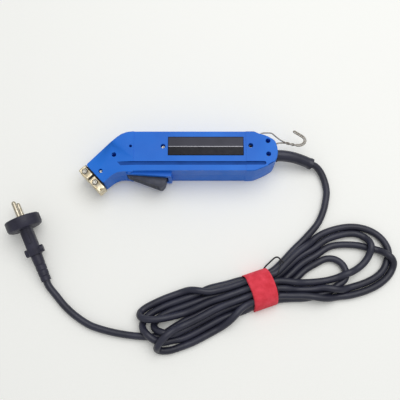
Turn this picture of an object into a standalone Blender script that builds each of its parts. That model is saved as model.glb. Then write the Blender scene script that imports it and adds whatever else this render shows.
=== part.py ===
"""Hand-held heating cutter for foam and fabric, lying on its side, with its flex bundled in a hank.

Metres, +Z up. +X runs along the grip away from the nose, +Y is the back of the grip, and the tool
lies on its lower shell at z = 0. The shells part on the plane z = HALF. Everything is laid out
around the middle of the rating plate and moved over the origin at the end.
"""
import math

import bmesh
import bpy
from mathutils import Euler, Matrix, Vector

# --- clearances -----------------------------------------------------------------------------
GAP = 0.0003            # between pieces that seat on each other
FIT = 0.0005            # round a screw shank or a bar in its window
RUNNING = 0.00015       # round the trigger pin

# --- housing --------------------------------------------------------------------------------
THICK = 0.038           # both shells together
HALF = THICK / 2
WALL = 0.003
BACK_Y = 0.0234         # back of the grip from its middle line
FRONT_Y = -0.0234
RIM = 0.0009            # rounding of the outer rims
BAND_START_X = -0.080   # the grip between the two seams lies a little deeper
BAND_END_X = 0.0448
BAND_DEPTH = 0.0005
NOSE_ANGLE = math.radians(43.2)
NOSE_FAR = Vector((-0.1327, -0.0144))
NOSE_WIDTH = 0.0288
NOSE_TAPER_LENGTH = 0.042
NOSE_TAPER = 0.006      # how much thinner each shell is at the end of the nose
NOSE_FLOOR = 0.009      # depth of the cavity floor in the nose
CAVITY_START_X = -0.086
NOSE_BACK_BEND = (-0.0922, BACK_Y, 0.025)
NOSE_FRONT_BEND = (-0.0998, FRONT_Y, 0.020)
REAR_CORNERS = [
    (0.0540, FRONT_Y, 0.010),
    (0.0670, -0.0180, 0.030),
    (0.0780, -0.0112, 0.009),
    (0.0798, -0.0030, 0.018),
    (0.0798, 0.0030, 0.018),
    (0.0773, 0.0126, 0.008),
    (0.0675, 0.0186, 0.020),
    (0.0583, 0.0212, 0.005),
    (0.0545, BACK_Y, 0.004),
]
GROOVE_START_X = -0.100
GROOVE_END_X = 0.0665
GROOVE_TOP_Y = -0.0122
GROOVE_WIDTH = 0.0042
GROOVE_DEPTH = 0.0017

# --- housing screws: x, y, depth of the well, radius of the well ------------------------------
SCREW_WELLS = [
    (-0.1164, -0.0219, 0.0095, 0.0024),
    (-0.1018, -0.0040, 0.0140, 0.0026),
    (-0.0836, 0.0056, 0.0120, 0.0017),
    (-0.0475, 0.0056, 0.0060, 0.0027),
    (0.0499, 0.0063, 0.0060, 0.0028),
    (0.0692, 0.0118, 0.0120, 0.0028),
    (0.0694, -0.0037, 0.0120, 0.0028),
]
BARREL_WALL = 0.0014
BARREL_DEPTH = 0.0125   # the wide part of a barrel ends here, above the flex
FOOT_RADIUS = 0.0036
FOOT_STEP = 0.0002      # the barrels stop just short of the rims
SCREW_SHANK = 0.0013
SCREW_END = 0.007
HEAD_HEIGHT = 0.0016
HEAD_PLAY = 0.0004
CROSS_WIDTH = 0.0006
CROSS_DEPTH = 0.0008

# --- rating plate, left bare ------------------------------------------------------------------
PLATE_START_X = -0.0420
PLATE_END_X = 0.0418
PLATE_LOW_Y = -0.0052
PLATE_HIGH_Y = 0.0164
PLATE_THICK = 0.0006
PLATE_SINK = 0.0004

# --- trigger ----------------------------------------------------------------------------------
PIVOT = Vector((-0.0840, -0.0205))
TRIGGER_WIDTH = 0.0150
TRIGGER_PLAY = 0.0007
PIN_RADIUS = 0.0015
PIN_END_DEPTH = 0.0050
PIVOT_BOSS = 0.0040
TRIGGER_CORNERS = [     # from the pivot
    (-0.0036, -0.0042, 0.0015),
    (0.0352, -0.0190, 0.0025),
    (0.0388, -0.0142, 0.0015),
    (0.0410, -0.0030, 0.0080),
    (0.0404, 0.0065, 0.0008),
    (0.0288, 0.0065, 0.0008),
    (0.0270, 0.0010, 0.0008),
    (0.0080, 0.0010, 0.0030),
    (0.0000, 0.0040, 0.0034),
    (-0.0040, 0.0030, 0.0030),
]
TREAD_START = (-0.0015, -0.0051)
TREAD_END = (0.0330, -0.0182)
TREAD_COUNT = 4
TREAD_PITCH = 0.0030
TREAD_SLOT = 0.0013
TREAD_DEPTH = 0.0008
POCKET_START_X = -0.0884
POCKET_END_X = -0.0419
POCKET_BACK_Y = -0.0196
POCKET_FRONT_Y = -0.0400
GUARD_CORNERS = [
    (-0.0895, -0.0225, 0.0005),
    (-0.0880, -0.0246, 0.0010),
    (-0.0386, -0.0282, 0.0012),
    (-0.0376, -0.0225, 0.0005),
]
GUARD_DEPTH = 0.0062    # its cheeks start this deep below the shell's face

# --- return spring and its seat -----------------------------------------------------------------
SPRING_X = -0.0500
SPRING_RADIUS = 0.0026
SPRING_WIRE = 0.00035
SPRING_TURNS = 5
SPRING_STEPS = 8
SPRING_POCKET = 0.0035
SPRING_POCKET_END_Y = -0.0185
SEAT_HALF_LENGTH = 0.0045
SEAT_FRONT_Y = -0.0046
SEAT_BACK_Y = -0.0032

# --- switch -------------------------------------------------------------------------------------
SWITCH_START_X = -0.0760
SWITCH_END_X = -0.0600
SWITCH_FRONT_Y = -0.0134
SWITCH_BACK_Y = -0.0055
SWITCH_HEIGHT = 0.0120
PLUNGER_X = -0.0680
PLUNGER_RADIUS = 0.0016
PLUNGER_FRONT_Y = -0.0192
PLUNGER_LENGTH = 0.0076
PLUNGER_TRAVEL = 0.0036
SWITCH_REST_WIDTH = 0.0014

# --- clamp blocks on the nose: along the nose end from its back edge ----------------------------
SHORT_START = -0.0026
SHORT_END = 0.0120
LONG_START = 0.0142
LONG_END = 0.0326
CLAMP_INNER = 0.0014    # out from the nose end
CLAMP_OUTER = 0.0104
CLAMP_LOW_Z = HALF - 0.0070
CLAMP_HIGH_Z = HALF + 0.0085
BLADE_SLOT = 0.0011
BLADE_SLOT_Z = HALF
SLOT_WEB = 0.0022       # solid web behind the blade slot
CLAMP_SCREW_OUT = 0.0059
SHORT_SCREW_AT = 0.0029
LONG_SCREW_AT = 0.0205
CAP_RADIUS = 0.0031
CAP_HEIGHT = 0.0019
CAP_SINK = 0.0009
HEX_RADIUS = 0.0015
HEX_DEPTH = 0.0011
CLAMP_SHANK = 0.0015
WIRE_HOLE_AT = 0.0312
WIRE_HOLE_OUT = 0.0066
WIRE_HOLE = 0.0018
INSULATOR_THICK = 0.0007
INSULATOR_LOW_Z = HALF - 0.0105
INSULATOR_HIGH_Z = HALF + 0.0105

# --- bars from the transformer to the clamps ----------------------------------------------------
BAR_THICK = 0.0030
BAR_LOW_Z = HALF - 0.0045
BAR_HIGH_Z = HALF + 0.0045
BAR_FAR_AT = 0.0065
BAR_NEAR_AT = 0.0223
BAR_FAR_Y = 0.0155
BAR_NEAR_Y = -0.0011
BAR_END_X = -0.0153
RISER_LENGTH = 0.0037
TONGUE_THICK = 0.0030
TONGUE_END_X = -0.0060

# --- transformer --------------------------------------------------------------------------------
CORE_START_X = -0.0140
CORE_END_X = 0.0340
CORE_HALF_Y = 0.0170
CORE_HALF_Z = 0.0090
YOKE = 0.0080
LEG_HALF_Y = 0.0062
WINDOW_HALF_Y = 0.0125
BOBBIN_WALL = 0.0008
BOBBIN_FLANGE = 0.0009
BOBBIN_REACH_Y = 0.0122
BOBBIN_REACH_Z = HALF - WALL - 0.0020
SECONDARY_LENGTH = 0.0090
COIL_INSET = 0.0002
REST_START_X = -0.0120
REST_WIDTH = 0.0020
REST_LOW_Y = 0.0090
REST_HIGH_Y = 0.0160

# --- flex, its sleeve and its clamp ---------------------------------------------------------------
CORD_RADIUS = 0.0039
SLEEVE_RADIUS = 0.0062
SLEEVE_FLARE = 0.0068
SLEEVE_FLANGE = 0.0068
SLEEVE_COLLAR = 0.0070
SLEEVE_START_X = 0.0736
SLEEVE_FLANGE_END_X = 0.0754
SLEEVE_NECK_END_X = 0.0802
SLEEVE_COLLAR_END_X = 0.0815
SLEEVE_Y = 0.0008
SLEEVE_ROUTE = [
    (0.0816, SLEEVE_Y, HALF),
    (0.0900, 0.0007, 0.0184),
    (0.1000, -0.0003, 0.0166),
    (0.1080, -0.0018, 0.0142),
    (0.1150, -0.0036, 0.0119),
    (0.1218, -0.0060, 0.0098),
]
INNER_CORD_RADIUS = 0.0036
INNER_CORD_ROUTE = [
    (0.0731, 0.0036, HALF),
    (0.0712, 0.0037, HALF),
    (0.0690, 0.0040, HALF),
    (0.0640, 0.0040, HALF),
    (0.0585, 0.0040, HALF),
]
CLAMP_BAR_START_X = 0.0552
CLAMP_BAR_END_X = 0.0600
CLAMP_BAR_HALF_Y = 0.0105
CLAMP_BAR_FOOT = 0.0060
CLAMP_BAR_HIGH_Z = HALF + 0.0062
CLAMP_BAR_Y = 0.0040
CLAMP_BAR_SCREW_Y = 0.0075
POST_RADIUS = 0.0028
BAR_SCREW_SHANK = 0.0011
BAR_SCREW_HEAD = 0.0021
BAR_SCREW_HEAD_HEIGHT = 0.0013

# --- insulated leads inside -----------------------------------------------------------------------
LEAD_RADIUS = 0.0009
LEAD_STRAIGHT = 0.0300  # longest straight between two points of a lead
# routes of the leads: x, y, and height as a share of HALF
LIVE_ROUTE = [
    (0.0580, 0.0056, 1.000), (0.0562, 0.0057, 1.000), (0.0544, 0.0074, 0.989), (0.0525, 0.0110, 0.947),
    (0.0470, 0.0150, 0.789), (0.0400, 0.0178, 0.553), (0.0300, 0.0187, 0.379), (0.0050, 0.0188, 0.342),
    (-0.0140, 0.0187, 0.316), (-0.0240, 0.0140, 0.274), (-0.0340, 0.0050, 0.279),
    (-0.0440, 0.0006, 0.279),
    (-0.0700, 0.0006, 0.279), (-0.0770, -0.0006, 0.289), (-0.0812, -0.0050, 0.447),
    (-0.0822, -0.0092, 0.789), (-0.0812, -0.0110, 1.079), (-0.0788, -0.0112, 1.184),
    (-0.0765, -0.0112, 1.184),
]
NEUTRAL_ROUTE = [
    (0.0580, 0.0024, 1.000), (0.0562, 0.0022, 1.000), (0.0538, 0.0004, 1.021), (0.0495, -0.0034, 1.158),
    (0.0440, -0.0042, 1.379), (0.0385, -0.0040, 1.579), (0.0330, -0.0038, 1.642),
    (0.0262, -0.0038, 1.642),
]
SWITCHED_ROUTE = [
    (-0.0765, -0.0088, 0.868), (-0.0782, -0.0087, 0.847), (-0.0792, -0.0072, 0.605),
    (-0.0774, -0.0040, 0.326),
    (-0.0700, -0.0018, 0.279), (-0.0460, -0.0018, 0.279), (-0.0340, -0.0055, 0.279),
    (-0.0240, -0.0140, 0.289),
    (-0.0140, -0.0184, 0.379), (0.0100, -0.0188, 0.411), (0.0310, -0.0188, 0.447),
    (0.0385, -0.0170, 0.658),
    (0.0402, -0.0120, 1.132), (0.0390, -0.0088, 1.500), (0.0345, -0.0077, 1.642),
    (0.0262, -0.0076, 1.642),
]

# --- hanging hook of steel wire ---------------------------------------------------------------------
HOOK_WIRE = 0.0008
HOOK_Z = HALF + 0.0070
HOOK_HOLE = 0.0019
HOOK_SIDE_HOLE = Vector((0.0613, 0.0203))
HOOK_REAR_HOLE = Vector((0.0782, 0.0112))
STRAND_OFFSET = 0.00096
TWIST_LENGTH = 0.0165
TWIST_TURNS = 1.5
HOOK_STEP = 0.0024
HOOK_STEM = [
    (0.0872, 0.0149), (0.0955, 0.0126), (0.1030, 0.0112), (0.1076, 0.0113), (0.1114, 0.0135),
    (0.1129, 0.0173), (0.1107, 0.0210), (0.1058, 0.0245), (0.1012, 0.0275),
]
HOOK_INSIDE = [
    (0.0822, 0.0137), (0.0797, 0.0127), (0.0782, 0.0112), (0.0768, 0.0098), (0.0742, 0.0074),
    (0.0706, 0.0056),
    (0.0664, 0.0060), (0.0636, 0.0086), (0.0627, 0.0122), (0.0615, 0.0170), (0.0613, 0.0203),
    (0.0618, 0.0236),
    (0.0640, 0.0257), (0.0680, 0.0261), (0.0735, 0.0261), (0.0762, 0.0250), (0.0800, 0.0214),
    (0.0842, 0.0178),
]

# --- flex outside: lead to the hank, the hank, and the tail to the plug ------------------------------
LEAD_ROUTE = [
    (0.1223, -0.0062, 0.0096), (0.1263, -0.0076, 0.0084), (0.1325, -0.0135, 0.0056),
    (0.1371, -0.0250, 0.0041),
    (0.1386, -0.0375, 0.0040), (0.1370, -0.0475, 0.0040), (0.1339, -0.0590, 0.0040),
    (0.1290, -0.0702, 0.0040),
    (0.1235, -0.0785, 0.0040),
]
TAIL_ROUTE = [
    (-0.0712, -0.1975, 0.0040), (-0.0812, -0.1972, 0.0040), (-0.0919, -0.1963, 0.0040),
    (-0.1027, -0.1944, 0.0040), (-0.1135, -0.1913, 0.0040), (-0.1244, -0.1871, 0.0040),
    (-0.1356, -0.1803, 0.0040), (-0.1465, -0.1722, 0.0040), (-0.1575, -0.1620, 0.0042),
    (-0.1650, -0.1533, 0.0046),
]
CORD_STEP = 0.0085
HANK_LOW_Z = 0.0002
HANK_HIGH_Z = 0.0168
STRAP_MIDDLE = Vector((0.0595, -0.1485))
STRAP_ANGLE = math.radians(16.1)
STRAP_WIDTH = 0.0260
STRAP_SPAN = 0.0400
STRAP_HEIGHT = 0.0186
STRAP_THICK = 0.0015
STRAP_CORNER = 0.0070
WAIST_REACH = 0.0200
RIGHT_LOBE = [
    (0.1360, -0.0775, 0.0040), (0.1190, -0.0850, 0.0005), (0.1110, -0.0800, 0.0005),
    (0.1065, -0.0905, 0.0050),
    (0.0850, -0.1115, 0.0060), (0.0670, -0.1250, 0.0040), (0.0785, -0.1645, 0.0040),
    (0.1340, -0.1622, 0.0200),
    (0.1560, -0.1590, 0.0200), (0.1850, -0.1500, 0.0200), (0.2050, -0.1370, 0.0120),
    (0.2115, -0.1230, 0.0120),
    (0.2065, -0.1050, 0.0120), (0.1990, -0.0890, 0.0120), (0.1850, -0.0795, 0.0120),
    (0.1600, -0.0725, 0.0120),
]
LEFT_LOBE = [
    (0.0410, -0.1330, 0.0040), (-0.0065, -0.1425, 0.0200), (-0.0500, -0.1540, 0.0300),
    (-0.0700, -0.1650, 0.0120),
    (-0.0785, -0.1780, 0.0060), (-0.0707, -0.1900, 0.0005), (-0.0707, -0.2050, 0.0040),
    (-0.0560, -0.2070, 0.0040),
    (-0.0560, -0.2180, 0.0060), (-0.0390, -0.2190, 0.0080), (-0.0060, -0.2050, 0.0200),
    (0.0520, -0.1720, 0.0040),
]

# --- plug -------------------------------------------------------------------------------------------
PLUG_END = Vector((-0.1738, -0.1395, 0.0071))
PLUG_YAW = math.radians(23.5)
PLUG_TILT = math.radians(11.0)
RELIEF_LENGTH = 0.0300
RELIEF_TIP = 0.0047
RELIEF_BASE = 0.0062
RELIEF_RIBS = 4
NECK_HALF_X = 0.0066
NECK_HALF_Y = 0.0080
NECK_END = 0.0640
RIDGE_HALF = 0.0018
RIDGE_RISE = 0.0014
EAR_RADIUS = 0.0042
EAR_REACH = 0.0100
EAR_AT = 0.0350
DISC_START = 0.0610
DISC_FACE = 0.0740
DISC_RADIUS = 0.0192
DISC_ROUND = 0.0030
NOTCH_WIDTH = 0.0065
NOTCH_DEPTH = 0.0030
CLIP_THICK = 0.0008
CLIP_WIDTH = 0.0045
PIN_SPACING = 0.0190
PLUG_PIN_RADIUS = 0.0024
PLUG_PIN_OUT = 0.0190
PLUG_PIN_ROOT = 0.0070

# --- how finely arcs are stepped ----------------------------------------------------------------------
ROUND_STEP = math.radians(15)
SMALL_RADIUS = 0.0040   # arcs under this are stepped half as finely
TINY_RADIUS = 0.0010    # and corners under this are plain chamfers
FINE_STEPS = 12
BEND_STEP = math.radians(17)


# ============================ shared ways of making a shape ===========================================
def start_scene():
    for old in list(bpy.data.objects):
        bpy.data.objects.remove(old, do_unlink=True)
    parts = bpy.data.collections.new("heating_cutter")
    cutters = bpy.data.collections.new("cutters")
    bpy.context.scene.collection.children.link(parts)
    bpy.context.scene.collection.children.link(cutters)
    return parts, cutters


PARTS, CUTTERS = start_scene()


def place(mesh, name, tool=False):
    obj = bpy.data.objects.new(name, mesh)
    if tool:
        CUTTERS.objects.link(obj)
        obj.hide_render = True
        obj.display_type = "WIRE"
    else:
        PARTS.objects.link(obj)
    return obj


def mesh_from(bm, name):
    mesh = bpy.data.meshes.new(name)
    bm.to_mesh(mesh)
    bm.free()
    return mesh


def rounded(corners):
    """Outline points of corners (x, y, radius), each radius as an arc."""
    points = []
    count = len(corners)
    for i in range(count):
        here = Vector(corners[i][:2])
        back = (Vector(corners[i - 1][:2]) - here).normalized()
        ahead = (Vector(corners[(i + 1) % count][:2]) - here).normalized()
        half = back.angle(ahead) / 2
        radius = corners[i][2]
        centre = here + (back + ahead).normalized() * radius / math.sin(half)
        start = here + back * radius / math.tan(half) - centre
        turn = start.angle_signed(here + ahead * radius / math.tan(half) - centre)
        step = ROUND_STEP if radius > SMALL_RADIUS else 2 * ROUND_STEP if radius > TINY_RADIUS else math.pi
        steps = max(1, round(abs(turn) / step))
        for k in range(steps + 1):
            points.append(centre + Matrix.Rotation(-turn * k / steps, 2) @ start)
    return points


def inset(corners, distance):
    """The same corners moved inward (counter-clockwise outline)."""
    moved = []
    count = len(corners)
    for i in range(count):
        here = Vector(corners[i][:2])
        before = (here - Vector(corners[i - 1][:2])).normalized()
        after = (Vector(corners[(i + 1) % count][:2]) - here).normalized()
        normal = Vector((-before.y - after.y, before.x + after.x)).normalized()
        shift = distance / max(0.2, normal.dot(Vector((-before.y, before.x))))
        convex = before.cross(after) > 0
        radius = corners[i][2] - distance if convex else corners[i][2] + distance
        spot = here + normal * shift
        moved.append((spot.x, spot.y, max(radius, 0.0003)))
    return moved


def to_mesh(obj, name, tool=False):
    """Turn a curve object into a mesh object in its place."""
    bpy.context.view_layer.update()
    shaped = obj.evaluated_get(bpy.context.evaluated_depsgraph_get())
    mesh = bpy.data.meshes.new_from_object(shaped)
    mesh.transform(obj.matrix_world)
    curve = obj.data
    bpy.data.objects.remove(obj, do_unlink=True)
    bpy.data.curves.remove(curve)
    bm = bmesh.new()
    bm.from_mesh(mesh)
    bmesh.ops.remove_doubles(bm, verts=bm.verts, dist=1e-7)
    bmesh.ops.dissolve_limit(bm, angle_limit=math.radians(0.5), verts=bm.verts, edges=bm.edges)
    bmesh.ops.recalc_face_normals(bm, faces=bm.faces)
    bm.to_mesh(mesh)
    bm.free()
    mesh.name = name
    return place(mesh, name, tool)


def plate(name, corners, low, high, tool=False, matrix=None):
    """A flat outline between two levels."""
    curve = bpy.data.curves.new(name, "CURVE")
    curve.dimensions = "2D"
    curve.fill_mode = "BOTH"
    curve.extrude = (high - low) / 2
    points = rounded(corners)
    spline = curve.splines.new("POLY")
    spline.points.add(len(points) - 1)
    for point, spot in zip(spline.points, points):
        point.co = (spot.x, spot.y, 0, 1)
    spline.use_cyclic_u = True
    obj = place(curve, name, tool)
    obj.matrix_world = (matrix or Matrix()) @ Matrix.Translation((0, 0, (low + high) / 2))
    return to_mesh(obj, name, tool)


# local X, Y, Z of a cross-section laid along the grip: across, up, along
ALONG_X = Matrix(((0, 0, 1, 0), (1, 0, 0, 0), (0, 1, 0, 0), (0, 0, 0, 1)))


def box(name, low, high, tool=False):
    bm = bmesh.new()
    bmesh.ops.create_cube(bm, size=1)
    size = [b - a for a, b in zip(low, high)]
    middle = [(a + b) / 2 for a, b in zip(low, high)]
    bmesh.ops.scale(bm, vec=size, verts=bm.verts)
    bmesh.ops.translate(bm, vec=middle, verts=bm.verts)
    return place(mesh_from(bm, name), name, tool)


def rod(name, start, end, radius, end_radius=None, sides=20, tool=False):
    """A cylinder or cone between two points."""
    start, end = Vector(start), Vector(end)
    bm = bmesh.new()
    wide = radius if end_radius is None else end_radius
    bmesh.ops.create_cone(
        bm, cap_ends=True, segments=sides, radius1=radius, radius2=wide, depth=(end - start).length
    )
    turn = (end - start).to_track_quat("Z", "Y").to_matrix().to_4x4()
    bmesh.ops.transform(bm, matrix=Matrix.Translation((start + end) / 2) @ turn, verts=bm.verts)
    return place(mesh_from(bm, name), name, tool)


def turned(name, profile, sides=24, matrix=None):
    """A profile of (radius, height) from top to bottom, turned about Z."""
    bm = bmesh.new()
    verts = [bm.verts.new((r, 0, h)) for r, h in profile]
    for a, b in zip(verts, verts[1:]):
        bm.edges.new((a, b))
    obj = place(mesh_from(bm, name), name)
    screw = obj.modifiers.new("turn", "SCREW")
    screw.steps = sides
    screw.render_steps = sides
    screw.use_merge_vertices = True
    screw.merge_threshold = 0.00001
    if matrix:
        obj.matrix_world = matrix
    return obj


def smooth_curve(points):
    """Closely spaced points on a smooth curve through the route's own points."""
    route = [Vector(p) for p in points]
    ends = [2 * route[0] - route[1]] + route + [2 * route[-1] - route[-2]]
    fine = [route[0]]
    for a, b, c, d in zip(ends, ends[1:], ends[2:], ends[3:]):
        for k in range(1, FINE_STEPS + 1):
            t = k / FINE_STEPS
            square = (2 * a - 5 * b + 4 * c - d) * t ** 2
            cube = (3 * b - a - 3 * c + d) * t ** 3
            fine.append(0.5 * (2 * b + (c - a) * t + square + cube))
    return fine


def bent_route(points, longest):
    """The smooth curve with a point at each small bend, and few on its straight runs."""
    fine = smooth_curve(points)
    kept = [fine[0]]
    heading = fine[1] - fine[0]
    for spot, after in zip(fine[1:], fine[2:]):
        turned_by = heading.angle(after - spot, 0)
        if turned_by > BEND_STEP or (spot - kept[-1]).length > longest:
            kept.append(spot)
            heading = after - spot
    if (fine[-1] - kept[-1]).length < longest / 6 and len(kept) > 2:
        kept.pop()
    return kept + [fine[-1]]


def smooth_route(points, step):
    """Evenly spaced points on the smooth curve."""
    fine = smooth_curve(points)
    lengths = [(q - p).length for p, q in zip(fine, fine[1:])]
    count = max(2, round(sum(lengths) / step))
    spacing = sum(lengths) / count
    even = [fine[0]]
    walked = 0.0
    for p, q, length in zip(fine, fine[1:], lengths):
        while len(even) < count and walked + length >= spacing * len(even):
            even.append(p.lerp(q, (spacing * len(even) - walked) / length))
        walked += length
    return even + [fine[-1]]


def tube(name, points, radius, radii=None, closed=False, resolution=2):
    curve = bpy.data.curves.new(name, "CURVE")
    curve.dimensions = "3D"
    curve.bevel_depth = radius
    curve.bevel_resolution = resolution
    curve.use_fill_caps = not closed
    spline = curve.splines.new("POLY")
    spline.points.add(len(points) - 1)
    for i, spot in enumerate(points):
        spline.points[i].co = (*spot, 1)
        spline.points[i].radius = radii[i] / radius if radii else 1
    spline.use_cyclic_u = closed
    return place(curve, name)


def boolean(target, tool, operation):
    step = target.modifiers.new(tool.name, "BOOLEAN")
    step.operation = operation
    step.solver = "EXACT"
    step.object = tool


def cut(target, tool):
    boolean(target, tool, "DIFFERENCE")


def fuse(target, tool):
    boolean(target, tool, "UNION")


def paint(obj, name, colour, roughness, metallic=0.0):
    material = bpy.data.materials.get(name)
    if material is None:
        material = bpy.data.materials.new(name)
        material.use_nodes = True
        shader = material.node_tree.nodes["Principled BSDF"]
        shader.inputs["Base Color"].default_value = (*colour, 1)
        shader.inputs["Roughness"].default_value = roughness
        shader.inputs["Metallic"].default_value = metallic
        material.diffuse_color = (*colour, 1)
    obj.data.materials.clear()
    obj.data.materials.append(material)


def soften(obj):
    """Shade round pieces smooth, with their edges kept (a curve is smooth by itself)."""
    if obj.type == "MESH":
        obj.data.shade_smooth()
        obj.data.set_sharp_from_angle(angle=math.radians(35))


# ============================ where things are on the nose ============================================
OUT = Vector((-math.cos(NOSE_ANGLE), -math.sin(NOSE_ANGLE)))
ALONG = Vector((math.sin(NOSE_ANGLE), -math.cos(NOSE_ANGLE)))


def on_nose(along, out):
    return NOSE_FAR + ALONG * along + OUT * out


def nose_corner(along, out, radius):
    spot = on_nose(along, out)
    return (spot.x, spot.y, radius)


def nose_block(name, along, out, low, high, radius=0.0004, tool=False, outer_radius=None):
    """A block squared up to the nose end; along and out are (start, end)."""
    rim = radius if outer_radius is None else outer_radius
    corners = [
        nose_corner(along[0], out[0], radius),
        nose_corner(along[0], out[1], rim),
        nose_corner(along[1], out[1], rim),
        nose_corner(along[1], out[0], radius),
    ]
    return plate(name, corners, low, high, tool)


# ============================ the two shells ===========================================================
def outline():
    nose_near = on_nose(NOSE_WIDTH, 0)
    return [
        (NOSE_FAR.x, NOSE_FAR.y, 0.0010),
        (nose_near.x, nose_near.y, 0.0015),
        NOSE_FRONT_BEND,
        *REAR_CORNERS,
        NOSE_BACK_BEND,
    ]


def level(depth, upper):
    return THICK - depth if upper else depth


def span(depth_a, depth_b, upper):
    return sorted((level(depth_a, upper), level(depth_b, upper)))


def shell_blank(name, upper):
    shell = plate(name, outline(), *span(0, HALF - GAP / 2, upper))
    bm = bmesh.new()
    bm.from_mesh(shell.data)
    face_z = level(0, upper)
    rim = [e for e in bm.edges if all(abs(v.co.z - face_z) < 1e-6 for v in e.verts)]
    bmesh.ops.bevel(bm, geom=rim, offset=RIM, segments=1, profile=0.5, affect="EDGES", clamp_overlap=True)
    bm.to_mesh(shell.data)
    bm.free()
    return shell


def taper_nose(shell, upper):
    """The outer face slopes down to the thinner end of the nose."""
    tilt = math.atan2(NOSE_TAPER, NOSE_TAPER_LENGTH)
    start = on_nose(NOSE_WIDTH / 2, -NOSE_TAPER_LENGTH)
    reach = NOSE_TAPER_LENGTH + 0.02
    depth = (0, THICK) if upper else (-THICK, 0)
    wedge = box(f"{shell.name}_taper", (0, -reach, depth[0]), (reach, reach, depth[1]), tool=True)
    wedge.location = (start.x, start.y, level(0, upper))
    wedge.rotation_euler = (0, tilt if upper else -tilt, math.atan2(OUT.y, OUT.x))
    cut(shell, wedge)


def sink_grip(shell, upper):
    """The grip between the two seams is a hair slimmer all round."""
    reach = 0.05
    low, high = span(-reach, BAND_DEPTH, upper)
    face = box(f"{shell.name}_band_face", (BAND_START_X, -reach, low), (BAND_END_X, reach, high), tool=True)
    cut(shell, face)
    for side, y in (("back", BACK_Y - BAND_DEPTH), ("front", FRONT_Y + BAND_DEPTH)):
        edge = reach if y > 0 else -reach
        ys = sorted((y, edge))
        band = box(
            f"{shell.name}_band_{side}", (BAND_START_X, ys[0], -reach), (BAND_END_X, ys[1], reach + THICK),
            tool=True,
        )
        cut(shell, band)


def groove(shell, upper):
    low, high = span(-GROOVE_DEPTH, GROOVE_DEPTH + BAND_DEPTH, upper)
    end = GROOVE_WIDTH * 0.48
    bottom = GROOVE_TOP_Y - GROOVE_WIDTH
    corners = [
        (GROOVE_START_X, bottom, end),
        (GROOVE_END_X, bottom, end),
        (GROOVE_END_X, GROOVE_TOP_Y, end),
        (GROOVE_START_X, GROOVE_TOP_Y, end),
    ]
    cut(shell, plate(f"{shell.name}_groove", corners, low, high, tool=True))


def hollow(shell, upper):
    nose = plate(
        f"{shell.name}_cavity_nose", inset(outline(), WALL), *span(NOSE_FLOOR, HALF + 0.002, upper),
        tool=True,
    )
    cut(shell, nose)
    grip_corners = [(CAVITY_START_X, FRONT_Y, 0.0035), *REAR_CORNERS, (CAVITY_START_X, BACK_Y, 0.0035)]
    grip = plate(
        f"{shell.name}_cavity_grip", inset(grip_corners, WALL),
        *span(WALL + BAND_DEPTH, NOSE_FLOOR + 0.0005, upper), tool=True,
    )
    cut(shell, grip)


def guard(shell, upper):
    """Wedge-shaped cheeks beside the trigger, joined by a post behind it."""
    cheek = plate(
        f"{shell.name}_guard", GUARD_CORNERS, *span(GUARD_DEPTH, HALF - GAP / 2, upper), tool=True
    )
    fuse(shell, cheek)
    boss_end = HALF - TRIGGER_WIDTH / 2 - TRIGGER_PLAY
    root = WALL - 0.0005
    boss = rod(
        f"{shell.name}_pivot_boss", (*PIVOT, level(root, upper)), (
            *PIVOT, level(boss_end, upper)
        ), PIVOT_BOSS, tool=True
    )
    fuse(shell, boss)
    pocket = box(
        f"{shell.name}_trigger_pocket",
        (POCKET_START_X, POCKET_FRONT_Y, boss_end),
        (POCKET_END_X, POCKET_BACK_Y, THICK - boss_end),
        tool=True,
    )
    cut(shell, pocket)
    bore_start = level(PIN_END_DEPTH - GAP, upper)
    bore = rod(
        f"{shell.name}_pivot_bore", (*PIVOT, bore_start), (*PIVOT, HALF), PIN_RADIUS + RUNNING, tool=True
    )
    cut(shell, bore)


def barrels(shell, upper):
    """Screw barrels from the wall to the parting plane."""
    for i, (x, y, depth, radius) in enumerate(SCREW_WELLS):
        root = WALL - 0.0005 if i > 1 else NOSE_FLOOR - 0.0005
        end = HALF - GAP / 2 - FOOT_STEP
        foot = rod(
            f"{shell.name}_foot_{i}", (
                x, y, level(root, upper)
            ), (x, y, level(end, upper)), FOOT_RADIUS, sides=12, tool=True
        )
        fuse(shell, foot)
        if upper and i > 2:
            barrel = rod(
                f"{shell.name}_barrel_{i}",
                (x, y, level(root, upper)),
                (x, y, level(BARREL_DEPTH, upper)),
                radius + BARREL_WALL,
                sides=16,
                tool=True,
            )
            fuse(shell, barrel)
    for i, (x, y, depth, radius) in enumerate(SCREW_WELLS):
        if upper:
            well = rod(
                f"{shell.name}_well_{i}", (x, y, THICK + 0.01), (x, y, THICK - depth), radius, sides=16,
                tool=True,
            )
            cut(shell, well)
            hole_end = HALF - 0.001
            hole_start = THICK - depth + 0.001
        else:
            hole_end = SCREW_END - 0.0006
            hole_start = HALF + 0.001
        hole = rod(
            f"{shell.name}_hole_{i}", (
                x, y, hole_start
            ), (x, y, hole_end), SCREW_SHANK + FIT, sides=8, tool=True
        )
        cut(shell, hole)


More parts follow.
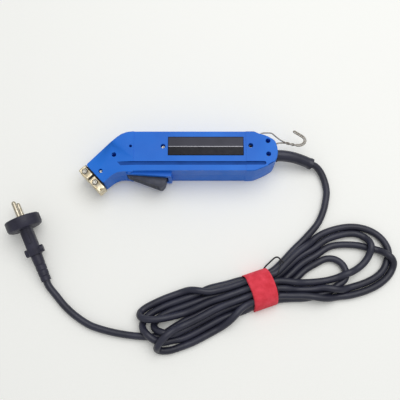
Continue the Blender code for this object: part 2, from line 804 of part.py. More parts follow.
def rests(shell, upper):
    """Ribs that carry the transformer, the switch and the spring."""
    top = HALF - CORE_HALF_Z - GAP
    root = WALL - 0.0005
    length = CORE_END_X - CORE_START_X
    for i, x in enumerate((REST_START_X, REST_START_X + length - YOKE + REST_WIDTH)):
        for side in (-1, 1):
            ys = sorted((side * REST_LOW_Y, side * REST_HIGH_Y))
            low, high = span(root, top, upper)
            rib = box(
                f"{shell.name}_rest_{i}_{side + 1}", (x, ys[0], low), (x + REST_WIDTH, ys[1], high),
                tool=True,
            )
            fuse(shell, rib)
    low, high = span(root, HALF - SWITCH_HEIGHT / 2 - GAP, upper)
    for i, x in enumerate((SWITCH_START_X + 0.001, SWITCH_END_X - 0.001 - SWITCH_REST_WIDTH)):
        rib = box(
            f"{shell.name}_switch_rest_{i}",
            (x, SWITCH_FRONT_Y + 0.0005, low),
            (x + SWITCH_REST_WIDTH, SWITCH_BACK_Y - 0.0005, high),
            tool=True,
        )
        fuse(shell, rib)
    low, high = span(root, HALF - GAP / 2 - FOOT_STEP, upper)
    seat = box(
        f"{shell.name}_spring_seat",
        (SPRING_X - SEAT_HALF_LENGTH, SEAT_FRONT_Y, low),
        (SPRING_X + SEAT_HALF_LENGTH, SEAT_BACK_Y, high),
        tool=True,
    )
    fuse(shell, seat)


def openings(shell, upper):
    neck = rod(
        f"{shell.name}_sleeve_hole",
        (SLEEVE_FLANGE_END_X - 0.003, SLEEVE_Y, HALF),
        (SLEEVE_COLLAR_END_X, SLEEVE_Y, HALF),
        SLEEVE_RADIUS + GAP,
        tool=True,
    )
    cut(shell, neck)
    for side, at in (("far", BAR_FAR_AT), ("near", BAR_NEAR_AT)):
        half = BAR_THICK / 2 + FIT
        window = nose_block(
            f"{shell.name}_window_{side}",
            (at - half, at + half),
            (-0.006, 0.004),
            BAR_LOW_Z - FIT,
            BAR_HIGH_Z + FIT,
            tool=True,
        )
        cut(shell, window)


def hook_holes(shell):
    for side, spot, toward in (
        ("side", HOOK_SIDE_HOLE, (0.05, 1.0)), ("rear", HOOK_REAR_HOLE, (0.85, 0.75))
    ):
        reach = Vector(toward).normalized() * 0.005
        start = spot - reach
        end = spot + reach
        hole = rod(
            f"{shell.name}_hook_hole_{side}", (*start, HOOK_Z), (*end, HOOK_Z), HOOK_HOLE, sides=16,
            tool=True,
        )
        cut(shell, hole)


def plate_pocket(shell):
    floor = THICK - BAND_DEPTH - PLATE_SINK - GAP
    pocket = box(
        "plate_pocket",
        (PLATE_START_X - GAP, PLATE_LOW_Y - GAP, floor),
        (PLATE_END_X + GAP, PLATE_HIGH_Y + GAP, THICK + 0.005),
        tool=True,
    )
    cut(shell, pocket)


def clamp_posts(shell):
    for i, side in enumerate((-1, 1)):
        x = (CLAMP_BAR_START_X + CLAMP_BAR_END_X) / 2
        y = CLAMP_BAR_Y + side * CLAMP_BAR_SCREW_Y
        post = rod(
            f"clamp_post_{i}", (x, y, WALL - 0.0005), (x, y, HALF - GAP / 2 - FOOT_STEP), POST_RADIUS,
            tool=True,
        )
        fuse(shell, post)
        hole = rod(
            f"clamp_post_hole_{i}", (x, y, HALF - 0.0085), (x, y, HALF + 0.001), BAR_SCREW_SHANK + FIT,
            sides=12, tool=True,
        )
        cut(shell, hole)


def housing():
    for name, upper in (("housing_lower", False), ("housing_upper", True)):
        shell = shell_blank(name, upper)
        taper_nose(shell, upper)
        sink_grip(shell, upper)
        groove(shell, upper)
        hollow(shell, upper)
        barrels(shell, upper)
        guard(shell, upper)
        rests(shell, upper)
        openings(shell, upper)
        if upper:
            hook_holes(shell)
            plate_pocket(shell)
        else:
            clamp_posts(shell)
        paint(shell, "blue_moulding", (0.026, 0.162, 0.686), 0.42)


def rating_plate():
    floor = THICK - BAND_DEPTH - PLATE_SINK
    low = (PLATE_START_X, PLATE_LOW_Y, floor)
    high = (PLATE_END_X, PLATE_HIGH_Y, floor + PLATE_THICK)
    obj = box("rating_plate", low, high)
    paint(obj, "plate_film", (0.022, 0.021, 0.027), 0.3)


def housing_screws():
    for i, (x, y, depth, radius) in enumerate(SCREW_WELLS):
        seat = THICK - depth + HEAD_PLAY
        head = min(radius - HEAD_PLAY, 0.0024)
        profile = [
            (0, seat + HEAD_HEIGHT),
            (head * 0.7, seat + HEAD_HEIGHT),
            (head, seat + HEAD_HEIGHT * 0.55),
            (head, seat),
            (SCREW_SHANK, seat),
            (SCREW_SHANK, SCREW_END + 0.001),
            (SCREW_SHANK * 0.4, SCREW_END),
            (0, SCREW_END),
        ]
        screw = turned(f"housing_screw_{i + 1}", profile, sides=12, matrix=Matrix.Translation((x, y, 0)))
        top = seat + HEAD_HEIGHT
        arm = head * 0.62
        for k, (dx, dy) in enumerate(((arm, CROSS_WIDTH / 2), (CROSS_WIDTH / 2, arm))):
            slot = box(
                f"{screw.name}_cross_{k}", (
                    x - dx, y - dy, top - CROSS_DEPTH * (1 - 0.1 * k)
                ), (x + dx, y + dy, top + 0.001), tool=True
            )
            cut(screw, slot)
        soften(screw)
        paint(screw, "plated_steel", (0.55, 0.56, 0.58), 0.32, 0.95)


# ============================ clamps for the blade =====================================================
def clamp_block(name, start, end, screw_at):
    block = nose_block(
        name, (start, end), (CLAMP_INNER, CLAMP_OUTER), CLAMP_LOW_Z, CLAMP_HIGH_Z, 0.0005,
        outer_radius=0.0014,
    )
    bm = bmesh.new()
    bm.from_mesh(block.data)
    rims = [e for e in bm.edges if abs(e.verts[0].co.z - e.verts[1].co.z) < 1e-6]
    bmesh.ops.bevel(
        bm, geom=rims, offset=0.0005, segments=1, profile=0.5, affect="EDGES", clamp_overlap=True
    )
    bm.to_mesh(block.data)
    bm.free()
    slot = nose_block(
        f"{name}_slot",
        (start - 0.002, end + 0.002),
        (CLAMP_INNER + SLOT_WEB, CLAMP_OUTER + 0.003),
        BLADE_SLOT_Z - BLADE_SLOT / 2,
        BLADE_SLOT_Z + BLADE_SLOT / 2,
        tool=True,
    )
    cut(block, slot)
    spot = on_nose(screw_at, CLAMP_SCREW_OUT)
    sink = rod(
        f"{name}_sink", (*spot, CLAMP_HIGH_Z + 0.002), (*spot, CLAMP_HIGH_Z - CAP_SINK), CAP_RADIUS + FIT,
        tool=True,
    )
    cut(block, sink)
    bore = rod(
        f"{name}_bore", (*spot, CLAMP_HIGH_Z), (*spot, CLAMP_LOW_Z - 0.002), CLAMP_SHANK + FIT, sides=16,
        tool=True,
    )
    cut(block, bore)
    paint(block, "nickel_brass", (0.434, 0.366, 0.275), 0.3, 0.95)
    return block


def clamp_screw(name, at):
    spot = on_nose(at, CLAMP_SCREW_OUT)
    seat = CLAMP_HIGH_Z - CAP_SINK + GAP
    profile = [
        (0, seat + CAP_HEIGHT),
        (CAP_RADIUS * 0.72, seat + CAP_HEIGHT),
        (CAP_RADIUS, seat + CAP_HEIGHT * 0.45),
        (CAP_RADIUS, seat),
        (CLAMP_SHANK, seat),
        (CLAMP_SHANK, CLAMP_LOW_Z + 0.0008),
        (CLAMP_SHANK * 0.6, CLAMP_LOW_Z),
        (0, CLAMP_LOW_Z),
    ]
    screw = turned(name, profile, matrix=Matrix.Translation((*spot, 0)))
    top = seat + CAP_HEIGHT
    socket = rod(
        f"{name}_socket", (*spot, top + 0.001), (*spot, top - HEX_DEPTH), HEX_RADIUS, sides=6, tool=True
    )
    cut(screw, socket)
    soften(screw)
    paint(screw, "plated_steel", (0.55, 0.56, 0.58), 0.32, 0.95)


def clamps():
    clamp_block("clamp_block_short", SHORT_START, SHORT_END, SHORT_SCREW_AT)
    long_block = clamp_block("clamp_block_long", LONG_START, LONG_END, LONG_SCREW_AT)
    half = WIRE_HOLE / 2
    hole = nose_block(
        "wire_hole",
        (WIRE_HOLE_AT - half, WIRE_HOLE_AT + half),
        (WIRE_HOLE_OUT - half, WIRE_HOLE_OUT + half),
        CLAMP_HIGH_Z - 0.004,
        CLAMP_HIGH_Z + 0.002,
        radius=0.0001,
        tool=True,
    )
    cut(long_block, hole)
    clamp_screw("clamp_screw_short", SHORT_SCREW_AT)
    clamp_screw("clamp_screw_long", LONG_SCREW_AT)


def insulator():
    """Black board behind the blocks, with a rib that keeps them apart."""
    board = nose_block(
        "clamp_insulator",
        (SHORT_START + 0.0012, LONG_END - 0.0024),
        (GAP, GAP + INSULATOR_THICK),
        INSULATOR_LOW_Z,
        INSULATOR_HIGH_Z,
        radius=0.0002,
    )
    rib = nose_block(
        "insulator_rib",
        (SHORT_END + GAP, LONG_START - GAP),
        (GAP + INSULATOR_THICK / 2, CLAMP_OUTER - 0.0022),
        CLAMP_LOW_Z + 0.0006,
        CLAMP_HIGH_Z - 0.0006,
        radius=0.0001,
        tool=True,
    )
    fuse(board, rib)
    for side, at in (("far", BAR_FAR_AT), ("near", BAR_NEAR_AT)):
        half = BAR_THICK / 2 + GAP
        window = nose_block(
            f"insulator_window_{side}", (
                at - half, at + half
            ), (-0.002, 0.004), BAR_LOW_Z - GAP, BAR_HIGH_Z + GAP, tool=True
        )
        cut(board, window)
    paint(board, "black_board", (0.02, 0.02, 0.022), 0.6)


# ============================ bars and transformer =====================================================
def bar(name, at, lane_y, tongue_ys, upward):
    """A copper bar from a clamp block through the nose, bent along the grip, with a step to the winding."""
    start = on_nose(at, CLAMP_INNER - GAP)
    run = (lane_y - start.y) / math.sin(NOSE_ANGLE)
    bend = start - OUT * run
    half = BAR_THICK / 2
    across = Vector((-OUT.y, OUT.x))
    lift = math.tan(NOSE_ANGLE / 2) * half
    corners = [
        (start.x + across.x * half, start.y + across.y * half, 0.0002),
        (bend.x + lift, lane_y - half, 0.0050),
        (BAR_END_X, lane_y - half, 0.0002),
        (BAR_END_X, lane_y + half, 0.0002),
        (bend.x - lift, lane_y + half, 0.0050),
        (start.x - across.x * half, start.y - across.y * half, 0.0002),
    ]
    piece = plate(name, corners, BAR_LOW_Z, BAR_HIGH_Z)
    reach = BOBBIN_REACH_Z - 0.0004
    end_z = HALF + reach if upward else HALF - reach
    step_z = end_z - TONGUE_THICK if upward else end_z + TONGUE_THICK
    riser_zs = sorted((end_z, BAR_LOW_Z if upward else BAR_HIGH_Z))
    riser_ys = (min(tongue_ys[0], lane_y - half), max(tongue_ys[1], lane_y + half))
    riser = box(
        f"{name}_riser", (
            BAR_END_X - RISER_LENGTH, riser_ys[0], riser_zs[0]
        ), (BAR_END_X, riser_ys[1], riser_zs[1]), tool=True
    )
    fuse(piece, riser)
    tongue_zs = sorted((end_z, step_z))
    tongue = box(
        f"{name}_tongue", (
            BAR_END_X - RISER_LENGTH / 2, tongue_ys[0], tongue_zs[0]
        ), (TONGUE_END_X, tongue_ys[1], tongue_zs[1]), tool=True
    )
    fuse(piece, tongue)
    paint(piece, "copper", (0.62, 0.30, 0.17), 0.38, 0.95)


def ring(name, outer, inner, corner, start, end):
    """A rectangular ring across the grip; outer and inner are (half y, half z)."""
    def corners(size, radius):
        y, z = size
        return [
            (-y, HALF - z, radius), (y, HALF - z, radius), (y, HALF + z, radius), (-y, HALF + z, radius)
        ]

    piece = plate(name, corners(outer, corner), start, end, matrix=ALONG_X)
    bore = plate(
        f"{name}_bore", corners(inner, 0.0004), start - 0.002, end + 0.002, tool=True, matrix=ALONG_X
    )
    cut(piece, bore)
    return piece


def transformer():
    core = box(
        "transformer_core", (
            CORE_START_X, -CORE_HALF_Y, HALF - CORE_HALF_Z
        ), (CORE_END_X, CORE_HALF_Y, HALF + CORE_HALF_Z)
    )
    for side in (-1, 1):
        ys = sorted((side * LEG_HALF_Y, side * WINDOW_HALF_Y))
        window = box(
            f"core_window_{side + 1}", (CORE_START_X + YOKE, ys[0], 0), (
                CORE_END_X - YOKE, ys[1], THICK
            ), tool=True
        )
        cut(core, window)
    paint(core, "laminated_steel", (0.16, 0.16, 0.17), 0.5, 0.8)

    start = CORE_START_X + YOKE + GAP
    end = CORE_END_X - YOKE - GAP
    leg = (LEG_HALF_Y + GAP, CORE_HALF_Z + GAP)
    tube_size = (leg[0] + BOBBIN_WALL, leg[1] + BOBBIN_WALL)
    reach = (BOBBIN_REACH_Y, BOBBIN_REACH_Z)
    bobbin = ring("transformer_bobbin", tube_size, leg, 0.0005, start, end)
    divider = start + BOBBIN_FLANGE + SECONDARY_LENGTH + 2 * GAP
    for i, x in enumerate((start, divider, end - BOBBIN_FLANGE)):
        flange = plate(
            f"bobbin_flange_{i}",
            [(-reach[0], HALF - reach[1], 0.001), (reach[0], HALF - reach[1], 0.001),
             (reach[0], HALF + reach[1], 0.001), (-reach[0], HALF + reach[1], 0.001)],
            x, x + BOBBIN_FLANGE, tool=True, matrix=ALONG_X,
        )
        fuse(bobbin, flange)
    leg_room = box(
        "bobbin_leg_room", (
            start - 0.002, -leg[0], HALF - leg[1]
        ), (end + 0.002, leg[0], HALF + leg[1]), tool=True
    )
    cut(bobbin, leg_room)
    paint(bobbin, "bobbin_nylon", (0.75, 0.72, 0.62), 0.5)

    inner = (tube_size[0] + GAP, tube_size[1] + GAP)
    outer = (reach[0] - COIL_INSET, reach[1] - COIL_INSET)
    secondary = ring("secondary_winding", outer, inner, 0.002, start + BOBBIN_FLANGE + GAP, divider - GAP)
    paint(secondary, "copper", (0.62, 0.30, 0.17), 0.38, 0.95)
    primary = ring(
        "primary_winding", outer, inner, 0.002, divider + BOBBIN_FLANGE + GAP, end - BOBBIN_FLANGE - GAP
    )
    paint(primary, "enamelled_wire", (0.36, 0.12, 0.05), 0.35, 0.6)


# ============================ trigger, switch and spring ================================================
def trigger():
    corners = [(x + PIVOT.x, y + PIVOT.y, r) for x, y, r in TRIGGER_CORNERS]
    low = HALF - TRIGGER_WIDTH / 2
    high = HALF + TRIGGER_WIDTH / 2
    piece = plate("trigger", corners, low, high)
    piece.data.transform(Matrix.Translation((-PIVOT.x, -PIVOT.y, 0)))
    piece.location = (PIVOT.x, PIVOT.y, 0)
    start = PIVOT + Vector(TREAD_START)
    end = PIVOT + Vector(TREAD_END)
    inward = (end - start).normalized().orthogonal() * TREAD_DEPTH
    outward = -inward * 3
    for i in range(TREAD_COUNT):
        middle = HALF + (i - (TREAD_COUNT - 1) / 2) * TREAD_PITCH
        strip = [start + outward, end + outward, end + inward, start + inward]
        slot = plate(
            f"tread_{i}",
            [(p.x, p.y, 0.0001) for p in strip],
            middle - TREAD_SLOT / 2,
            middle + TREAD_SLOT / 2,
            tool=True,
        )
        cut(piece, slot)
    bore = rod(
        "trigger_bore", (*PIVOT, low - 0.001), (*PIVOT, high + 0.001), PIN_RADIUS + RUNNING, tool=True
    )
    cut(piece, bore)
    pocket = rod(
        "spring_pocket", (
            SPRING_X, SPRING_POCKET_END_Y, HALF
        ), (SPRING_X, PIVOT.y + 0.012, HALF), SPRING_POCKET, tool=True
    )
    cut(piece, pocket)
    paint(piece, "dark_moulding", (0.058, 0.063, 0.089), 0.5)

    pin = rod("trigger_pin", (*PIVOT, PIN_END_DEPTH), (*PIVOT, THICK - PIN_END_DEPTH), PIN_RADIUS)
    soften(pin)
    paint(pin, "plated_steel", (0.55, 0.56, 0.58), 0.32, 0.95)


def spring():
    start = SPRING_POCKET_END_Y + GAP + SPRING_WIRE
    end = SEAT_FRONT_Y - GAP - SPRING_WIRE
    count = SPRING_TURNS * SPRING_STEPS
    points = []
    for k in range(count + 1):
        angle = 2 * math.pi * k / SPRING_STEPS
        y = start + (end - start) * k / count
        points.append(
            (SPRING_X + SPRING_RADIUS * math.cos(angle), y, HALF + SPRING_RADIUS * math.sin(angle))
        )
    coil = tube("trigger_spring", points, SPRING_WIRE)
    soften(coil)
    paint(coil, "spring_steel", (0.45, 0.46, 0.48), 0.3, 1.0)


def switch():
    half = SWITCH_HEIGHT / 2
    body = box(
        "switch_body", (
            SWITCH_START_X, SWITCH_FRONT_Y, HALF - half
        ), (SWITCH_END_X, SWITCH_BACK_Y, HALF + half)
    )
    room_end = PLUNGER_FRONT_Y + PLUNGER_LENGTH + PLUNGER_TRAVEL + 0.0004
    bore = rod(
        "plunger_bore", (
            PLUNGER_X, SWITCH_FRONT_Y - 0.001, HALF
        ), (PLUNGER_X, room_end, HALF), PLUNGER_RADIUS + GAP, tool=True
    )
    cut(body, bore)
    paint(body, "switch_moulding", (0.03, 0.03, 0.032), 0.45)
    profile = [
        (0, PLUNGER_LENGTH), (PLUNGER_RADIUS * 0.6, PLUNGER_LENGTH),
        (PLUNGER_RADIUS, PLUNGER_LENGTH - 0.0008),
        (PLUNGER_RADIUS, 0), (0, 0),
    ]
    matrix = Matrix.Translation(
        (PLUNGER_X, PLUNGER_FRONT_Y + PLUNGER_LENGTH, HALF)
    ) @ Matrix.Rotation(math.pi / 2, 4, "X")
    plunger = turned("switch_plunger", profile, sides=16, matrix=matrix)
    soften(plunger)
    paint(plunger, "plunger_red", (0.5, 0.04, 0.03), 0.4)


# ============================ flex entry, clamp and leads inside ========================================
def sleeve():
    straight = [
        (SLEEVE_START_X, SLEEVE_FLANGE), (SLEEVE_FLANGE_END_X, SLEEVE_FLANGE),
        (SLEEVE_FLANGE_END_X + 0.0001, SLEEVE_RADIUS),
        (SLEEVE_NECK_END_X, SLEEVE_RADIUS), (SLEEVE_NECK_END_X + 0.0001, SLEEVE_COLLAR),
        (SLEEVE_COLLAR_END_X - 0.0001, SLEEVE_COLLAR),
    ]
    points = [Vector((x, SLEEVE_Y, HALF)) for x, r in straight]
    radii = [r for x, r in straight]
    route = smooth_route(SLEEVE_ROUTE, 0.004)
    points += route
    radii += [SLEEVE_RADIUS] * (len(route) - 1) + [SLEEVE_FLARE]
    piece = tube("cable_sleeve", points, SLEEVE_RADIUS, radii=radii, resolution=4)
    soften(piece)
    paint(piece, "black_rubber", (0.018, 0.017, 0.026), 0.55)


def cable_clamp():
    y_in = CLAMP_BAR_HALF_Y - CLAMP_BAR_FOOT
    low = HALF + GAP / 2
    roof = HALF + INNER_CORD_RADIUS + GAP
    high = CLAMP_BAR_HIGH_Z
    profile = [(-CLAMP_BAR_HALF_Y, low), (-y_in, low), (-y_in, roof), (y_in, roof), (y_in, low),
               (CLAMP_BAR_HALF_Y, low), (CLAMP_BAR_HALF_Y, high), (-CLAMP_BAR_HALF_Y, high)]
    corners = [(y + CLAMP_BAR_Y, z, 0.0003) for y, z in profile]
    saddle = plate("cable_clamp", corners, CLAMP_BAR_START_X, CLAMP_BAR_END_X, matrix=ALONG_X)
    x = (CLAMP_BAR_START_X + CLAMP_BAR_END_X) / 2
    for i, side in enumerate((-1, 1)):
        y = CLAMP_BAR_Y + side * CLAMP_BAR_SCREW_Y
        hole = rod(
            f"cable_clamp_hole_{i}", (x, y, low - 0.001), (x, y, high + 0.001), BAR_SCREW_SHANK + FIT,
            sides=12, tool=True,
        )
        cut(saddle, hole)
        seat = high + GAP
        profile = [
            (0, seat + BAR_SCREW_HEAD_HEIGHT), (BAR_SCREW_HEAD * 0.7, seat + BAR_SCREW_HEAD_HEIGHT),
            (BAR_SCREW_HEAD, seat + BAR_SCREW_HEAD_HEIGHT * 0.4), (BAR_SCREW_HEAD, seat),
            (BAR_SCREW_SHANK, seat),
            (BAR_SCREW_SHANK, HALF - 0.0070), (0, HALF - 0.0080),
        ]
        screw = turned(
            f"cable_clamp_screw_{i + 1}", profile, sides=12, matrix=Matrix.Translation((x, y, 0))
        )
        soften(screw)
        paint(screw, "plated_steel", (0.55, 0.56, 0.58), 0.32, 0.95)
    paint(saddle, "switch_moulding", (0.03, 0.03, 0.032), 0.45)


def inner_leads():
    inner = tube("cord_inner_end", smooth_route(INNER_CORD_ROUTE, 0.0035), INNER_CORD_RADIUS)
    soften(inner)
    paint(inner, "black_rubber", (0.018, 0.017, 0.026), 0.55)
    for name, route, colour in (
        ("live_lead", LIVE_ROUTE, (0.13, 0.05, 0.03)),
        ("neutral_lead", NEUTRAL_ROUTE, (0.03, 0.11, 0.4)),
        ("switched_lead", SWITCHED_ROUTE, (0.13, 0.05, 0.03)),
    ):
        lead = tube(name, bent_route([(x, y, HALF * z) for x, y, z in route], LEAD_STRAIGHT), LEAD_RADIUS)
        soften(lead)
        paint(lead, f"{name}_pvc", colour, 0.45)


# ============================ hanging hook =============================================================
def hook():
    """One wire: round the corner barrel inside, out of both holes, twisted, and doubled back as a hook."""
    stem = smooth_route([(x, y, HOOK_Z) for x, y in HOOK_STEM], HOOK_STEP)
    left, right = [], []
    walked = 0.0
    for i, spot in enumerate(stem):
        ahead = stem[min(i + 1, len(stem) - 1)] - stem[max(i - 1, 0)]
        across = Vector((-ahead.y, ahead.x, 0)).normalized()
        if i:
            walked += (spot - stem[i - 1]).length
        turn = 2 * math.pi * TWIST_TURNS * min(1.0, walked / TWIST_LENGTH)
        offset = STRAND_OFFSET * (across * math.cos(turn) + Vector((0, 0, math.sin(turn))))
        left.append(spot + offset)
        right.append(spot - offset)
    tip = []
    ahead = (stem[-1] - stem[-2]).normalized()
    for k in range(1, 6):
        angle = math.pi * k / 6
        spread = (left[-1] - stem[-1]) * math.cos(angle)
        tip.append(stem[-1] + spread + ahead * STRAND_OFFSET * math.sin(angle))
    inside = smooth_route([(x, y, HOOK_Z) for x, y in HOOK_INSIDE], HOOK_STEP)
    wire = tube("hook_wire", left + tip + right[::-1] + inside, HOOK_WIRE, closed=True)
    axis = empty("hook_axis", (*HOOK_SIDE_HOLE, HOOK_Z))
    wire.parent = axis
    wire.matrix_parent_inverse = axis.matrix_world.inverted()
    soften(wire)
    paint(wire, "hook_steel", (0.38, 0.37, 0.35), 0.35, 0.95)


def empty(name, location, rotation=(0, 0, 0)):
    obj = bpy.data.objects.new(name, None)
    PARTS.objects.link(obj)
    obj.location = location
    obj.rotation_euler = rotation
    bpy.context.view_layer.update()
    return obj


# ============================ flex outside ==============================================================
def plug_point(x, y, along):
    turn = Euler((-(math.pi / 2 - PLUG_TILT), 0, PLUG_YAW)).to_matrix()
    return PLUG_END + turn @ Vector((x, y, along))


def cords():
    lead = tube("cord_lead", smooth_route(LEAD_ROUTE, CORD_STEP), CORD_RADIUS, resolution=3)
    tail_end = [plug_point(0, 0, -0.012), plug_point(0, 0, -0.006), plug_point(0, 0, -GAP)]
    tail = tube("cord_tail", smooth_route(TAIL_ROUTE + tail_end, CORD_STEP), CORD_RADIUS, resolution=3)
    for piece in (lead, tail):
        soften(piece)
        paint(piece, "black_rubber", (0.018, 0.017, 0.026), 0.55)


def strap_spot(along, across):
    axis = Vector((math.cos(STRAP_ANGLE), math.sin(STRAP_ANGLE)))
    side = Vector((-axis.y, axis.x))
    return STRAP_MIDDLE + axis * along + side * across


def strap_section():
    """Outside of the band, across the hank."""
    half = STRAP_SPAN / 2
    low = GAP
    high = STRAP_HEIGHT
    return [
        (-half, low, STRAP_CORNER), (half, low, STRAP_CORNER), (half, high, STRAP_CORNER),
        (-half, high, STRAP_CORNER),
    ]


def strap_turn():
    return Matrix.Translation((*STRAP_MIDDLE, 0)) @ Matrix.Rotation(STRAP_ANGLE, 4, "Z") @ ALONG_X


def hank():
    """The bundled turns as one plain body: two lobes and the waist under the strap."""
    left = plate("cord_hank", LEFT_LOBE, HANK_LOW_Z, HANK_HIGH_Z)
    right = plate("hank_right_lobe", RIGHT_LOBE[::-1], HANK_LOW_Z, HANK_HIGH_Z, tool=True)
    waist_section = inset(strap_section(), STRAP_THICK + GAP)
    waist = plate("hank_waist", waist_section, -WAIST_REACH, WAIST_REACH, tool=True, matrix=strap_turn())
    room_half = STRAP_WIDTH / 2 + GAP
    reach = STRAP_SPAN
    room = plate(
        "strap_room",
        [(*strap_spot(a, b), 0.0001) for a, b in (
            (-room_half, -reach), (room_half, -reach), (room_half, reach), (-room_half, reach))],
        -HANK_HIGH_Z, 2 * STRAP_HEIGHT, tool=True,
    )
    fuse(left, right)
    cut(left, room)
    fuse(left, waist)
    paint(left, "black_rubber", (0.018, 0.017, 0.026), 0.55)


def strap():
    """Band round the waist of the hank."""
    band = plate("hank_strap", strap_section(), -STRAP_WIDTH / 2, STRAP_WIDTH / 2, matrix=strap_turn())
    inside = inset(strap_section(), STRAP_THICK)
    room = plate("strap_inside", inside, -STRAP_WIDTH, STRAP_WIDTH, tool=True, matrix=strap_turn())
    cut(band, room)
    paint(band, "red_webbing", (0.745, 0.052, 0.078), 0.7)


# ============================ plug ======================================================================
def plug():
    frame = empty("plug_frame", PLUG_END, (-(math.pi / 2 - PLUG_TILT), 0, PLUG_YAW))

    def seat(obj):
        obj.parent = frame
        return obj

    base = RELIEF_LENGTH + GAP
    disc = seat(turned("plug_body", [
        (0, DISC_FACE), (DISC_RADIUS - 0.0008, DISC_FACE), (DISC_RADIUS, DISC_FACE - 0.0008),
        (DISC_RADIUS, DISC_START + DISC_ROUND), (DISC_RADIUS - 0.0010, DISC_START + 0.0010),
        (DISC_RADIUS - DISC_ROUND, DISC_START), (0, DISC_START),
    ], sides=36))
    neck = seat(plate("plug_neck", [
        (-NECK_HALF_X, -NECK_HALF_Y, 0.004), (NECK_HALF_X, -NECK_HALF_Y, 0.004),
        (NECK_HALF_X, NECK_HALF_Y, 0.004), (-NECK_HALF_X, NECK_HALF_Y, 0.004)], base, NECK_END, tool=True))
    fuse(disc, neck)
    ridge = seat(box(
        "plug_ridge",
        (-RIDGE_HALF, -NECK_HALF_Y - RIDGE_RISE, base + 0.014),
        (RIDGE_HALF, NECK_HALF_Y + RIDGE_RISE, NECK_END - 0.001),
        tool=True,
    ))
    fuse(disc, ridge)
    for i, side in enumerate((-1, 1)):
        ear = seat(rod(f"plug_ear_{i}", (0, 0, EAR_AT), (side * EAR_REACH, 0, EAR_AT), EAR_RADIUS, tool=True))
        fuse(disc, ear)
        floor = DISC_RADIUS - NOTCH_DEPTH
        xs = sorted((side * floor, side * (DISC_RADIUS + 0.004)))
        notch_low = (xs[0], -NOTCH_WIDTH / 2, DISC_START + 0.004)
        notch_high = (xs[1], NOTCH_WIDTH / 2, DISC_FACE + 0.002)
        cut(disc, seat(box(f"plug_notch_{i}", notch_low, notch_high, tool=True)))
        pin_y = side * PIN_SPACING / 2
        hole_start = (0, pin_y, DISC_FACE - PLUG_PIN_ROOT - GAP)
        hole_end = (0, pin_y, DISC_FACE + 0.002)
        hole = seat(rod(f"pin_hole_{i}", hole_start, hole_end, PLUG_PIN_RADIUS + GAP, tool=True))
        cut(disc, hole)
        xs = sorted((side * (floor + GAP), side * (floor + GAP + CLIP_THICK)))
        clip_low = (xs[0], -CLIP_WIDTH / 2, DISC_START + 0.0045)
        clip_high = (xs[1], CLIP_WIDTH / 2, DISC_FACE - 0.0005)
        clip = seat(box(f"plug_earth_clip_{i + 1}", clip_low, clip_high))
        paint(clip, "pin_brass", (0.62, 0.58, 0.48), 0.28, 0.95)
    paint(disc, "black_moulding", (0.018, 0.017, 0.024), 0.48)

    ribs = [(0, RELIEF_LENGTH)]
    rib_span = RELIEF_LENGTH * 0.55
    ribs += [(RELIEF_BASE, RELIEF_LENGTH), (RELIEF_BASE * 0.98, rib_span)]
    pitch = rib_span / (RELIEF_RIBS + 0.5)
    for i in range(RELIEF_RIBS):
        z = rib_span - pitch * (i + 0.3)
        share = 1 - z / RELIEF_LENGTH
        radius = RELIEF_BASE + (RELIEF_TIP + 0.0004 - RELIEF_BASE) * share
        ribs += [
            (radius - 0.0009, z), (radius - 0.0009, z - pitch * 0.35), (radius, z - pitch * 0.4),
            (radius, z - pitch * 0.75),
        ]
    ribs += [
        (RELIEF_TIP, pitch * 0.45), (RELIEF_TIP + 0.0007, pitch * 0.3), (RELIEF_TIP + 0.0007, 0), (0, 0)
    ]
    relief = seat(turned("plug_strain_relief", ribs, sides=16))
    soften(relief)
    paint(relief, "black_moulding", (0.018, 0.017, 0.024), 0.48)

    for name, side in (("plug_pin_upper", -1), ("plug_pin_lower", 1)):
        root = DISC_FACE - PLUG_PIN_ROOT
        tip = DISC_FACE + PLUG_PIN_OUT
        pin = seat(turned(name, [
            (0, tip), (PLUG_PIN_RADIUS * 0.55, tip - 0.0003), (PLUG_PIN_RADIUS * 0.88, tip - 0.0011),
            (PLUG_PIN_RADIUS, tip - 0.0024), (PLUG_PIN_RADIUS, root), (0, root)], sides=20))
        pin.location = (0, side * PIN_SPACING / 2, 0)
        soften(pin)
        paint(pin, "pin_brass", (0.62, 0.58, 0.48), 0.28, 0.95)
    soften(disc)


# ============================ assembly ==================================================================
FLEX = ("cord_lead", "cord_tail", "cord_hank", "hank_strap", "plug_")


def move_over_origin():
    """Put the middle of the tool's own footprint, without the flex, over the origin."""
    bpy.context.view_layer.update()
    graph = bpy.context.evaluated_depsgraph_get()
    low = Vector((1e9, 1e9, 1e9))
    high = -low
    for obj in PARTS.objects:
        if obj.type == "EMPTY" or obj.name.startswith(FLEX):
            continue
        shaped = obj.evaluated_get(graph)
        mesh = shaped.to_mesh()
        for vert in mesh.vertices:
            spot = shaped.matrix_world @ vert.co
            low = Vector(map(min, low, spot))
            high = Vector(map(max, high, spot))
        shaped.to_mesh_clear()
    shift = Vector((-(low.x + high.x) / 2, -(low.y + high.y) / 2, 0))
    for obj in list(PARTS.objects) + list(CUTTERS.objects):
        if obj.parent is None:
            obj.location += shift
    print(f"moved by x {shift.x:.6f} y {shift.y:.6f}")


housing()
rating_plate()
housing_screws()
clamps()
insulator()
bar("bar_far", BAR_FAR_AT, BAR_FAR_Y, (0.002, 0.008), upward=True)
bar("bar_near", BAR_NEAR_AT, BAR_NEAR_Y, (-0.006, 0.0004), upward=False)
transformer()
trigger()
spring()
switch()
sleeve()
cable_clamp()
inner_leads()
hook()
cords()
hank()
strap()
plug()
move_over_origin()
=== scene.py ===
"""Hot wire cutter for foam and fabric: a blue two-shell grip with its clamps, trigger and steel hook,
and its black flex bundled in a red strap and ending in a round two-pin plug. Metres, +Z up.
"""
import math

import bpy
import numpy as np
from mathutils import Euler, Matrix, Vector


